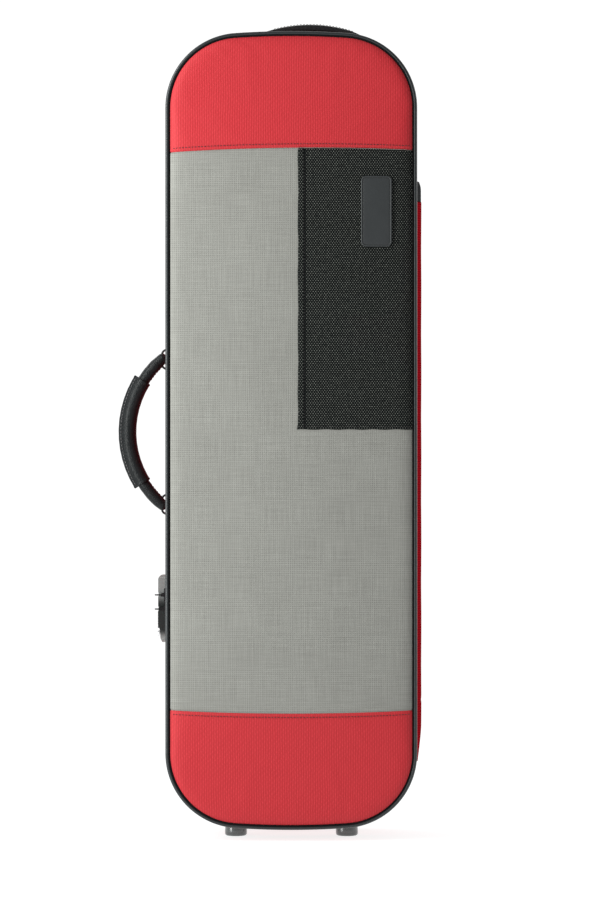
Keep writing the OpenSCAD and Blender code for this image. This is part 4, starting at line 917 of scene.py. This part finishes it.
z = np.concatenate([np.linspace(SPINE_LOW, flat_end, 25), np.linspace(flat_end, 626, 170)[1:]])
crest = crest_x - 3.6 * np.clip((flat_end - z) / (flat_end - SPINE_LOW), 0, 1) ** 1.5
crest = crest - 0.5 * np.exp(-((z - 137) / 1.6) ** 2)
spine = spine_skin("spine_cloth", z, crest, dark_red)
z = np.linspace(626.3, SPINE_TOP, 14)
crest = crest_x - 0.4 - 1.8 * np.clip((z - 638) / 8, 0, 1) ** 2
end_piece = spine_skin("spine_end_piece", z, crest, black_vinyl)
for piece, slot in ((spine, "spine_fabric"), (end_piece, "leather")):
    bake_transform(piece)
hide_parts("spine_base_band", "spine_lid_band")
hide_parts("spine_end_tab")
for body, side in (("base", 1), ("lid", -1)):
    z_line = np.linspace(SPINE_LOW + 4, 622, 300)
    line = np.stack([np.full(300, WALL_X + 1.12), np.full(300, side * (spine_half - 2.6)), z_line], 1)
    row = stitch_row("spine_stitches_" + body, line, (1, 0, 0), 3.4, 2.5, 0.5, thread_dark)
    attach(row, body)

# ---- Side handle ----
# A rolled leather strap hangs on two wire loops. A second piece of leather is wrapped round its middle
# and sewn along the outer edge, where it narrows to a flat flange.
leather, tree, shader = new_finish("black_leather", Roughness=0.36, Specular_IOR_Level=0.15,
                                   Coat_Weight=0.02, Coat_Roughness=0.2)
place = object_place(tree)
cells = node(tree, "TexVoronoi", {"Vector": place, "Scale": 520.0, "Randomness": 0.9},
             feature="DISTANCE_TO_EDGE")
crease = ramp(tree, cells.outputs["Distance"], 0.0, 0.18, kind="SMOOTHSTEP")
rough = noise(tree, place, 45.0, 5.0)
share = calc(tree, "MULTIPLY_ADD", crease, 0.45, calc(tree, "MULTIPLY", rough, 0.55))
colour(tree, shader, share, (0.002, 0.0024, 0.0026), (0.011, 0.013, 0.014))
roughen(tree, shader, rough, 0.12, 0.22)
emboss(tree, shader, crease, 0.3, 0.0005)

handle_r, handle_centre, handle_y, handle_z = 95.05, -55.05, 22.0, 400.0


def on_handle(angle, out, back):
    """Place on the handle's arc: angle from its middle, distance outside the arc and distance back."""
    angle, r, back = np.broadcast_arrays(angle, handle_r + out, back)
    x = -WALL_X - (handle_centre + r * np.cos(angle))
    return np.stack([x, handle_y + back, handle_z + r * np.sin(angle)], -1)


def arc_piece(name, angles, sections, material):
    """A skin through sections (out, back) at angles along the handle's arc."""
    places = on_handle(angles[:, None], sections[..., 0], sections[..., 1])
    return tube(name, places, material, False, handle_r * angles)


strap_r, eye_top = 6.2, 5.6
bail_angle, dome_angle = math.asin(72 / handle_r), eye_top / handle_r
dome_end = bail_angle + dome_angle * np.sin(np.radians(np.linspace(0, 88, 9)))[1:]
a = np.concatenate([-dome_end[::-1], np.linspace(-bail_angle, bail_angle, 110), dome_end])
spin = np.linspace(0, 2 * math.pi, 33)[:-1]
past = np.clip((np.abs(a) - bail_angle) / dome_angle, 0, 1)
slim = 1 - 0.1 * np.clip((np.abs(a) - bail_angle + 0.09) / 0.09, 0, 1)
size = (strap_r * slim * (1 - past ** 2.4) ** 0.42)[:, None] * (1 + 0.012 * np.sin(a * 60))[:, None]
seam_dip = 1 - 0.05 * np.exp(-((np.cos(spin) + 1) / 0.03) ** 2)
sections = np.stack([size * np.cos(spin) * seam_dip, size * np.sin(spin) * 0.97], -1)
strap = arc_piece("handle_rolled_strap", a, sections, leather)
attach(strap, "handle")
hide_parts("handle_strap")

grip_r, edge_out, edge_t, grip_angle = 7.6, 10.2, 3.4, math.asin(51 / handle_r)
reach = edge_out - edge_t / 2
lean = math.asin((grip_r - edge_t / 2) / reach)
leave = math.pi / 2 - lean
facing = np.array([math.cos(leave), math.sin(leave)])
round_side = np.linspace(leave, 2 * math.pi - leave, 41)
flank = np.linspace(0.08, 0.92, 9)
start = grip_r * facing
stop = edge_t / 2 * facing + (reach, 0)
upper = stop + (start - stop) * flank[:, None]
nose = np.array([[edge_out - 0.15, -edge_t / 2 + 0.55], [edge_out, -0.45], [edge_out - 0.35, 0.0],
                 [edge_out, 0.45], [edge_out - 0.15, edge_t / 2 - 0.55]])
drop = np.stack([grip_r * np.cos(round_side), grip_r * np.sin(round_side)], 1)
section = np.concatenate([nose, upper, drop, upper[::-1] * (1, -1)])
hem_a, hem_swell = np.array([0.97, 0.985, 0.995, 1.0, 1.0]), np.array([1.035, 1.03, 1.0, 0.95, 0.84])
a = np.concatenate([-hem_a[::-1], np.linspace(-0.95, 0.95, 100), hem_a])
swell = np.concatenate([hem_swell[::-1], np.full(100, 1.0), hem_swell])
swell = swell + 0.006 * np.sin(a * 37) * (np.abs(a) < 0.95)
pinch = 1 - 0.07 * np.exp(-((section[:, 0] - edge_out + 2.6) / 0.8) ** 2)
sections = section[None] * swell[:, None, None] * np.stack([np.ones(len(section)), pinch], 1)[None]
grip = arc_piece("handle_grip_wrap", a * grip_angle, sections, leather)
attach(grip, "handle")
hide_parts("handle_grip")

thread_light = sewing_thread("sewing_thread_light", (0.05, 0.05, 0.052), (0.16, 0.16, 0.165),
                             Roughness=0.55, Sheen_Weight=0.3)
seam_in = 2.6
a = np.linspace(-0.96, 0.96, 120) * grip_angle
for name, side in (("front", -1), ("back", 1)):
    back = side * (edge_t / 2 + 2.1 * math.tan(lean)) * 0.96
    line = on_handle(a, edge_out - seam_in, back)
    up = on_handle(a, edge_out - seam_in + math.sin(lean), back + side * math.cos(lean)) - line
    row = stitch_row("grip_stitches_" + name, line, up, 3.3, 2.3, 0.6, thread_light)
    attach(row, "handle")
for name, ends in (("upper", (34.5, 47.0)), ("lower", (-47.0, -34.5))):
    a = np.radians(np.linspace(*ends, 30))
    line = on_handle(a, -strap_r * 0.93, -0.9)
    up = on_handle(a, -strap_r * 1.2, -0.9) - line
    row = stitch_row("strap_stitches_" + name, line, up, 3.0, 2.1, 0.55, thread_light)
    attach(row, "handle")

# ---- Combination lock ----
# A die-cast lock is screwed to the wall over both zip ends. Three number wheels turn on a steel axle,
# and a chromed button below them slides down to let the zip pulls go. The numbers are painted on.
cast, tree, shader = new_finish("lock_casting", Metallic=0.75, Roughness=0.38, Coat_Weight=0.25,
                                Coat_Roughness=0.2)
place = object_place(tree)
height = node(tree, "SeparateXYZ", {0: place}).outputs["Z"]
grain = noise(tree, place, 1200.0, 3.0)
# Painted light: the casting is black in the middle by the wheels and lightens smoothly to satin grey
# towards its top and bottom, a painted gradient for the light on its ends.
dark_low, dark_high = (0.1950, 0.2040), (0.2285, 0.2420)
painted_light_top = ramp(tree, height, *dark_high, kind="SMOOTHSTEP")
painted_light_low = ramp(tree, height, *dark_low[::-1], kind="SMOOTHSTEP")
satin = tint_between(tree, grain, (0.22, 0.23, 0.23), (0.32, 0.33, 0.32))
black = tint_between(tree, grain, (0.012, 0.014, 0.014), (0.03, 0.033, 0.032))
colour(tree, shader, calc(tree, "MAXIMUM", painted_light_top, painted_light_low), black, satin)
roughen(tree, shader, grain, 0.25, 0.25)
chrome, tree, shader = new_finish("lock_chrome", Metallic=1.0, Roughness=0.12)
smear = noise(tree, object_place(tree), 250.0, 4.0)
colour(tree, shader, smear, (0.62, 0.62, 0.63), (0.82, 0.82, 0.83))
roughen(tree, shader, smear, 0.16, 0.05)
wheel_black, tree, shader = new_finish("number_wheel_black", Roughness=0.35, Specular_IOR_Level=0.55)
speck = noise(tree, object_place(tree), 900.0, 3.0)
colour(tree, shader, speck, (0.006, 0.006, 0.007), (0.022, 0.022, 0.024))
roughen(tree, shader, speck, 0.25, 0.25)
dress(cast, "lock_housing")
dress(chrome, "lock_axle", "lock_release")
dress(steel, "lock_plate")
dress(wheel_black, "lock_wheel_1", "lock_wheel_2", "lock_wheel_3")

paint, tree, shader = new_finish("digit_paint", Roughness=0.5)
chips = noise(tree, object_place(tree), 2500.0)
colour(tree, shader, chips, (0.62, 0.62, 0.6), (0.85, 0.85, 0.83))
wheel_x, wheel_y, wheel_r = -WALL_X - 6.6, 22.0, 4.6
digit_h, digit_t, digit_sunk = 3.0, 0.05, 0.02
for wheel in (1, 2, 3):
    low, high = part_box("lock_wheel_%d" % wheel)
    wheel_z = (low.z + high.z) / 2 / MM
    points, faces = [], []
    for digit in range(10):
        letters = bpy.data.curves.new("digit", "FONT")
        letters.body, letters.size, letters.extrude = str(digit), digit_h, digit_t
        letters.align_x, letters.align_y, letters.resolution_u = "CENTER", "CENTER", 2
        holder = bpy.data.objects.new("digit", letters)
        bpy.context.scene.collection.objects.link(holder)
        shape = holder.evaluated_get(bpy.context.evaluated_depsgraph_get()).to_mesh()
        flat = np.empty(len(shape.vertices) * 3, np.float32)
        shape.vertices.foreach_get("co", flat)
        flat = flat.reshape(-1, 3).astype(float)
        faces += [[v + sum(map(len, points)) for v in face.vertices] for face in shape.polygons]
        bpy.data.objects.remove(holder)
        turn = digit * math.pi / 5 + (flat[:, 1] - flat[:, 1].mean()) / wheel_r
        r = wheel_r + flat[:, 2] - digit_sunk
        places = [wheel_x - r * np.cos(turn), wheel_y - r * np.sin(turn), wheel_z - flat[:, 0]]
        points.append(np.stack(places, 1))
    points, same = np.unique(np.concatenate(points).round(3), axis=0, return_inverse=True)
    faces = [[int(same.ravel()[v]) for v in face] for face in faces]
    numbers = build("lock_numbers_%d" % wheel, points, faces, paint)
    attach(numbers, "wheel_%d" % wheel)

# ---- Top handle ----
# A carrying strap of black webbing, folded round a thin pad in the middle, arches over the upper end.
# Its ends go under two stitched leather caps, which lie on the wall over the arcs of the corners.
webbing, tree, shader = new_finish("black_webbing", Roughness=0.65, Sheen_Weight=0.05, Sheen_Roughness=0.4,
                                   Specular_IOR_Level=0.2)
parts = node(tree, "SeparateXYZ", {0: cloth_place(tree)})
zigzag = calc(tree, "PINGPONG", parts.outputs["Y"], 1.6)
chevron = sine(tree, calc(tree, "ADD", parts.outputs["X"], zigzag), 1.3)
cords = sine(tree, parts.outputs["Y"], 0.8)
height = calc(tree, "MULTIPLY_ADD", chevron, 0.5, calc(tree, "MULTIPLY", cords, 0.3))
share = calc(tree, "MULTIPLY_ADD", height, 0.5, 0.5)
colour(tree, shader, share, (0.0025, 0.0025, 0.003), (0.015, 0.015, 0.017))
emboss(tree, shader, height, 0.6, 0.0004)


def strap_skin(name, middle, up, side, width, thick, material):
    """A strap along a middle line: each section is a flat superellipse, as wide as the strap along side
    and as thick along up."""
    turn = np.linspace(0, 2 * math.pi, 37)[:-1]
    wide = np.sign(np.cos(turn)) * np.abs(np.cos(turn)) ** 0.35 * width / 2
    high = np.sign(np.sin(turn)) * np.abs(np.sin(turn)) ** 0.55 / 2
    thick = np.broadcast_to(thick, (len(middle),))
    up = up / np.linalg.norm(up, axis=1, keepdims=True)
    rings = (middle[:, None] + np.asarray(side, float) * wide[None, :, None]
             + up[:, None] * (high[None] * thick[:, None])[..., None])
    run = np.concatenate([[0], np.cumsum(np.linalg.norm(np.diff(middle, axis=0), axis=1))])
    girth = np.concatenate([wide + width, wide[:1] + width])
    return tube(name, rings, material, False, run, girth)


top_x, top_half, top_rise, top_t, top_y, top_w, cap_out = 22, 74, 18, 3.0, 44, 24, 4
t = np.linspace(-0.985, 0.985, 121)
x = top_x + t * top_half
shape = np.maximum(1 - t ** 2, 0) ** 1.2
pad = 4.4 * np.clip(1.25 - np.abs(t) / 0.42, 0, 1) ** 0.6
upper = end_height(x, side_inset) + 1.0 + (top_rise - top_t) * shape + 0.9 + 0.5 * (1 - shape)
middle = np.stack([x, np.full(121, top_y), upper - (top_t + pad) / 2], 1)
ahead = np.gradient(middle, axis=0)
up = np.stack([-ahead[:, 2], np.zeros(121), ahead[:, 0]], 1)
carry = strap_skin("top_carry_strap", middle, up, (0, 1, 0), top_w, top_t + pad, webbing)
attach(carry, "base")
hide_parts("top_handle")
for name, side in (("front", -1), ("back", 1)):
    part = np.abs(t) < 0.55
    inwards = np.full(part.sum(), side * (top_w / 2 - 2.2))
    line = middle[part] + np.stack([0 * inwards, inwards, (top_t + pad[part]) / 2], 1)
    row = stitch_row("carry_strap_stitches_" + name, line, up[part], 3.2, 2.3, 0.6, thread_dark)
    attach(row, "base")

cap_l, cap_w, cap_t, cap_side, cap_seam_in = 16, 30, 4, 0.62, 1.7
s, y = np.linspace(-1, 1, 25), np.linspace(-1, 1, 37)
for name, way, radius in (("left", -1, CROWN_R), ("right", 1, CORNER_R)):
    x0 = top_x + way * (top_half + cap_out)
    slope = way * math.asin((abs(x0) - CORNER_X) / CORNER_R)
    wall_z = end_height(x0, side_inset)
    along_wall, across_wall = np.meshgrid(s * cap_l / 2, y * cap_w / 2, indexing="ij")
    dome_s = (1 - np.abs(s[:, None]) ** 5) ** 0.5
    dome_y = (1 - np.abs(y[None]) ** 8) ** 0.5
    strap_under = 1.0 / (1 + np.exp((np.abs(across_wall) - top_w / 2 - 0.4) / 0.5))
    seam = 0.35 * np.exp(-((np.abs(across_wall) - cap_w / 2 + cap_seam_in) / 0.5) ** 2)
    rise = (cap_t * (cap_side + 0.36 * strap_under) - seam) * dome_s * dome_y
    rise = np.stack([rise, np.full_like(rise, -0.3)])
    sink = along_wall ** 2 / (2 * radius)
    px = x0 + along_wall * math.cos(slope) + (rise - sink) * math.sin(slope)
    pz = wall_z - along_wall * math.sin(slope) + (rise - sink) * math.cos(slope)
    points = np.stack([px, np.broadcast_to(top_y + across_wall, px.shape), pz], -1).reshape(-1, 3)
    cap = build("top_strap_cap_" + name, points, slab_faces(len(s), len(y)), leather)
    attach(cap, "base")
    if name == "left":
        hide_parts("top_handle_caps")
    for edge_name, side in (("front", -1), ("back", 1)):
        run = np.linspace(-6.2, 6.2, 20)
        lift = cap_t * cap_side * (1 - np.abs(run / 8) ** 5) ** 0.5 - 0.2 - run ** 2 / (2 * radius)
        line = np.stack([x0 + run * math.cos(slope) + lift * math.sin(slope),
                         np.full(20, top_y + side * (cap_w / 2 - cap_seam_in)),
                         wall_z - run * math.sin(slope) + lift * math.cos(slope)], 1)
        row = stitch_row("cap_stitches_%s_%s" % (name, edge_name), line,
                         (math.sin(slope), 0, math.cos(slope)), 2.6, 1.9, 0.5, thread_light)
        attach(row, "base")

# ---- Feet ----
# Four moulded feet with a polished black flank stand under the lower end, each with a screw hole sunk
# in its worn face.
worn_h = 0.0025
foot_gloss, tree, shader = new_finish("foot_gloss", IOR=1.8, Coat_Weight=0.5, Coat_Roughness=0.08)
place = object_place(tree)
scuff = noise(tree, place, 260.0, 6.0)
low_part = ramp(tree, node(tree, "SeparateXYZ", {0: place}).outputs["Z"], worn_h, 0.0)
worn = calc(tree, "MULTIPLY_ADD", low_part, 0.4, calc(tree, "MULTIPLY", scuff, 0.6))
colour(tree, shader, worn, (0.010, 0.012, 0.012), (0.06, 0.064, 0.064))
roughen(tree, shader, low_part, 0.3, calc(tree, "MULTIPLY_ADD", scuff, 0.12, 0.12))
turn = np.linspace(0, 2 * math.pi, 65)[:-1]
foot_r, foot_rise = np.transpose([
    (2.4, 4.0), (2.5, 1.2), (3.0, 0.5), (3.8, 0.15), (8.4, 0.0), (9.5, 0.2), (10.25, 0.7), (10.75, 1.5),
    (10.98, 2.5), (11.05, 3.6), (11.02, 4.8), (10.95, 6.2), (10.86, 7.8), (10.78, 9.2), (10.75, 10.6),
    (10.85, 12.0), (11.1, 13.2), (11.1, 15.4), (10.7, 16.0), (8.0, 16.0)])
for number, (foot_x, foot_y) in enumerate([(x, y) for x in (-55, 55) for y in (15, 73)], 1):
    rings = np.stack([foot_x + np.outer(foot_r, np.cos(turn)), foot_y + np.outer(foot_r, np.sin(turn)),
                      np.outer(foot_rise, np.ones(len(turn)))], -1)
    foot = tube("foot_%d" % number, rings, foot_gloss)
    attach(foot, "base")
    if number == 1:
        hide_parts("feet")

# ---- Back ----
# The back is the same stiff shell under black nylon, edged by the piping like the front. The large flat
# pocket for sheet music has a gusset, a bound edge and a zip, and four webbing tabs hold D-rings.
back_nylon, tree, shader = new_finish("back_nylon", Roughness=0.6, Sheen_Weight=0.2, Sheen_Roughness=0.4,
                                      Specular_IOR_Level=0.35)
place = object_place(tree)
parts = node(tree, "SeparateXYZ", {0: place})
weave_pitch = 0.0011
warp, weft = sine(tree, parts.outputs["X"], weave_pitch), sine(tree, parts.outputs["Z"], weave_pitch)
basket = calc(tree, "MULTIPLY", warp, weft)
mottle = noise(tree, place, 40.0, 5.0)
share = calc(tree, "MULTIPLY_ADD", basket, 0.3, calc(tree, "MULTIPLY_ADD", mottle, 0.5, 0.2))
colour(tree, shader, share, (0.016, 0.017, 0.018), (0.055, 0.057, 0.060))
emboss(tree, shader, basket, 0.5, 0.0003)

path, _ = rim(3.0)
levels = [(5.1, 86.6), (5.0, 87.3), (5.3, 87.8), (6.5, 88.15), (9.0, 88.2), (9.6, 88.1), (10.2, 88.2),
          (16.0, 88.3), (24.0, 88.3)]
rings = np.stack([along(path, [level])[:, 0] for level in levels])
back_skin = tube("back_skin", rings, back_nylon)
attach(back_skin, "base")
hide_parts("back_panel")
ring = along(path, [[9.6, 88.1]])[:, 0]
ring = np.concatenate([ring, ring[:1]])
row = stitch_row("back_skin_stitches", ring, (0, 1, 0), 3.6, 2.6, 0.55, thread_dark)
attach(row, "base")

pocket_half, pocket_mid = np.array([94.0, 280.0]), np.array([0.0, 392.0])
pocket_r, pocket_seam_in = 22.0, 4.2
pocket_box = (*(pocket_mid - pocket_half), *(pocket_mid + pocket_half))
pocket_levels = [(0.3, 88.2, 0), (0.2, 89.0, 0), (0.9, 90.4, 0), (1.0, 93.0, 0), (0.4, 94.6, 0),
                 (0.3, 95.8, 0), (1.0, 96.8, 0), (2.2, 97.1, 0), (3.6, 97.0, 0), (pocket_seam_in, 96.7, 0),
                 (5.0, 96.95, 0.02), (9.0, 97.0, 0.2), (16.0, 97.0, 0.5), (26.0, 97.0, 0.8),
                 (40.0, 97.0, 1.0), (60.0, 97.0, 1.1)]
rings = []
for inset, depth, swell in pocket_levels:
    arc_inset = min(inset, pocket_r - 2)
    ring = rounded_ring(*pocket_box, pocket_r, arc_inset, 14)
    shrink = (pocket_half - inset) / (pocket_half - arc_inset)
    ring = (ring - pocket_mid) * shrink + pocket_mid
    share = np.clip((628 - ring[:, 1]) / 60, 0, 1) * np.clip((ring[:, 1] - 118) / 60, 0, 1)
    rings.append(np.stack([ring[:, 0], depth + 1.8 * swell * share, ring[:, 1]], 1))
pocket = tube("music_pocket_cloth", rings, back_nylon)
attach(pocket, "base")
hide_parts("music_pocket")
ring = rounded_ring(*pocket_box, pocket_r, pocket_seam_in, 24)
ring = np.concatenate([ring, ring[:1]])
line = np.stack([ring[:, 0], np.full(len(ring), 96.75), ring[:, 1]], 1)
row = stitch_row("music_pocket_stitches", line, (0, 1, 0), 3.4, 2.4, 0.55, thread_dark)
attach(row, "base")

zip_z, zip_half = 646.0, 70.0
x = np.linspace(-zip_half, zip_half, 60)
strip = np.array([[97.05, -11.0], [97.75, -10.8], [97.95, -9.5],
                  [97.95, 9.5], [97.75, 10.8], [97.05, 11.0]])
rings = np.stack(np.broadcast_arrays(x[:, None], strip[:, 0], zip_z + strip[:, 1]), -1)
girth = np.concatenate([strip[:, 1], strip[:1, 1]])
tape = tube("pocket_zip_tape", rings, zip_tape, False, x, girth)
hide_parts("pocket_zip")
pieces = [tape]
for name, side, first in (("upper", 1, 0.0), ("lower", -1, 0.5)):
    spot = np.arange(-zip_half + 5, zip_half - 5, coil_pitch) + first * coil_pitch
    places = np.stack([spot, np.full(len(spot), 97.75), np.full(len(spot), zip_z)], 1)
    pieces.append(coil("pocket_coil_" + name, places, (0, 1, 0), (0, 0, -side), nylon_coil))
    line = np.stack([x, np.full(60, 97.95), np.full(60, zip_z + side * 8.4)], 1)
    pieces.append(stitch_row("pocket_zip_stitches_" + name, line, (0, 1, 0), 3.0, 2.2, 0.45, thread_dark))
for piece in pieces:
    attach(piece, "base")

tab_w, loop_r, ring_y = 20.6, 3.1, 91.7
for k in range(1, 5):
    low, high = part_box("d_ring_%d" % k)
    ring_x, ring_z = ((low.x + high.x) / 2 - MID_X) / MM, high.z / MM - 1.6
    a = np.radians(np.linspace(180, 405, 28))
    loop = np.concatenate([[[88.55, 26.0], [88.55, 18.0], [88.55, 10.0], [88.58, 4.0]],
                           np.stack([ring_y + loop_r * np.cos(a), loop_r * np.sin(a)], 1),
                           [[92.4, 4.2], [90.6, 6.2], [89.75, 8.4], [89.62, 12.0], [89.62, 19.0],
                            [89.62, 25.6]]])
    middle = np.stack([np.full(len(loop), ring_x), loop[:, 0], loop[:, 1] + ring_z], 1)
    ahead = np.gradient(middle, axis=0)
    up = np.stack([np.zeros(len(loop)), ahead[:, 2], -ahead[:, 1]], 1)
    tab = strap_skin("ring_tab_%d" % k, middle, up, (1, 0, 0), tab_w, 0.95, webbing)
    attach(tab, "base")
    if k == 1:
        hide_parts("d_ring_tabs")
    box = np.array([[-8.0, 9.6], [8, 9.6], [8, 23.8], [-8, 23.8],
                    [-8, 9.6], [8, 23.8], [8, 9.6], [-8, 23.8]])
    fine = np.concatenate([np.linspace(a, b, 12) for a, b in zip(box[:-1], box[1:])])
    line = np.stack([ring_x + fine[:, 0], np.full(len(fine), 90.08), ring_z + fine[:, 1]], 1)
    row = stitch_row("ring_tab_stitches_%d" % k, line, (0, 1, 0), 2.4, 1.8, 0.5, thread_light)
    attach(row, "base")

# ---- Velvet lining ----
# Both shells are lined with wine-red velvet over thin foam. The lining has a round edge along the rims
# and a round corner where the walls meet the floor.
velvet, tree, shader = new_finish("wine_velvet", Roughness=0.85, Sheen_Weight=0.6, Sheen_Roughness=0.35,
                                  Specular_IOR_Level=0.15)
shader.inputs["Sheen Tint"].default_value = (0.9, 0.35, 0.42, 1)
place = object_place(tree)
pile = noise(tree, place, 1400.0)
brushed = noise(tree, place, 22.0, 5.0, Distortion=1.2)
share = calc(tree, "MULTIPLY_ADD", pile, 0.35, calc(tree, "MULTIPLY", brushed, 0.65))
colour(tree, shader, share, (0.055, 0.004, 0.011), (0.19, 0.022, 0.042))
emboss(tree, shader, pile, 0.4, 0.0004)


def tray(name, body, node_name, levels):
    """A lining: rings of the outline at levels (inset, depth), from the glued floor out, up the wall,
    over the round edge and back down inside to the velvet floor, with a slight unevenness in the foam."""
    path, _ = rim(3.0)
    rings = []
    for inset, depth in levels:
        ring = along(path, [[inset, depth]])[:, 0]
        wave = 0.12 * np.sin(ring[:, 0] / 17 + ring[:, 2] / 23) * (inset > 12.5)
        rings.append(ring + np.stack([wave, np.zeros(len(ring)), wave], 1))
    lining = tube(name, np.stack(rings), velvet)
    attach(lining, body)
    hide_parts(node_name)


tray("base_velvet_lining", "base", "base_lining",
     [(16, 80.4), (12.5, 80.4), (11.2, 79.4), (11.05, 60), (11.05, 6), (11.1, 1.4), (11.4, 0.7),
      (12.0, 0.5), (12.6, 0.75), (12.9, 1.6), (12.95, 8), (12.95, 40), (12.95, 70), (13.3, 74),
      (14.6, 76.9), (17.2, 78.1), (22, 78.4), (40, 78.4)])
tray("lid_velvet_lining", "lid", "lid_lining",
     [(16, -36.9), (12.5, -36.9), (11.2, -36.2), (11.05, -20), (11.05, -6), (11.1, -1.4), (11.4, -0.7),
      (12.0, -0.5), (12.6, -0.75), (12.9, -1.6), (12.95, -8), (12.95, -28), (13.3, -31), (14.6, -33.6),
      (17.2, -34.8), (22, -35.0), (40, -35.0)])

# ---- Fitted interior ----
# The violin lies in a cradle of foam cut to its outline. A block carries the neck under a strap, an open
# box holds rosin and cloths, and sleeves in the lid take the tips of the bows. The velvet covers them.


def upholstered(name, body, node_name, voxel, rounds):
    """Foam under velvet: a merged copy of the solid, rebuilt as one even skin and relaxed, so that every
    edge is round."""
    shell = bmesh.new()
    shell.from_mesh(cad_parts[node_name].data)
    bmesh.ops.remove_doubles(shell, verts=shell.verts, dist=1e-6)
    mesh = bpy.data.meshes.new(name)
    shell.to_mesh(mesh)
    shell.free()
    piece = bpy.data.objects.new(name, mesh)
    bpy.context.scene.collection.objects.link(piece)
    skin = piece.modifiers.new("skin", "REMESH")
    skin.mode, skin.voxel_size, skin.use_smooth_shade = "VOXEL", voxel * MM, True
    relax = piece.modifiers.new("relax", "SMOOTH")
    relax.factor, relax.iterations = 0.5, rounds
    made = bpy.data.meshes.new_from_object(piece.evaluated_get(bpy.context.evaluated_depsgraph_get()))
    piece.modifiers.clear()
    piece.data = made
    made.materials.clear()
    made.materials.append(velvet)
    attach(piece, body)
    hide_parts(node_name)


upholstered("violin_cradle", "base", "body_cradle", 2.6, 7)
upholstered("neck_block", "base", "neck_cradle", 1.6, 5)
upholstered("accessory_tray", "base", "accessory_box", 1.4, 3)
upholstered("bow_tip_sleeves", "lid", "bow_tip_pockets", 0.8, 3)

corner = np.radians(np.linspace(10, 90, 9))
x = np.concatenate([np.linspace(-42, 41.4, 60), 41.4 + 1.5 * np.sin(corner), np.full(24, 42.9)])
y = np.concatenate([np.full(60, 23.1), 24.6 - 1.5 * np.cos(corner), np.linspace(25.4, 52, 24)])
y[:60] -= 0.25 * np.sin(np.linspace(0, math.pi, 60))
band_z, band_w, band_t = 495.0, 25.0, 1.6
middle = np.stack([x, y, np.full(len(x), band_z)], 1)
ahead = np.gradient(middle, axis=0)
up = np.stack([ahead[:, 1], -ahead[:, 0], np.zeros(len(x))], 1)
neck_band = strap_skin("neck_band", middle, up, (0, 0, 1), band_w, band_t, webbing)
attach(neck_band, "base")
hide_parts("neck_strap")

# ---- Bow holders ----
# Two moulded spinners in the lid turn over the bow frogs, and each turns on a riveted post. They and
# their bases are black plastic with a fine grain.
black_plastic, tree, shader = new_finish("black_plastic", Roughness=0.38, Specular_IOR_Level=0.5)
spark = noise(tree, object_place(tree), 1500.0)
colour(tree, shader, spark, (0.010, 0.010, 0.011), (0.030, 0.030, 0.032))
roughen(tree, shader, spark, 0.3, 0.22)
emboss(tree, shader, spark, 0.2, 0.0002)
dress(black_plastic, "bow_spinner_bases", "bow_spinner_1", "bow_spinner_2")
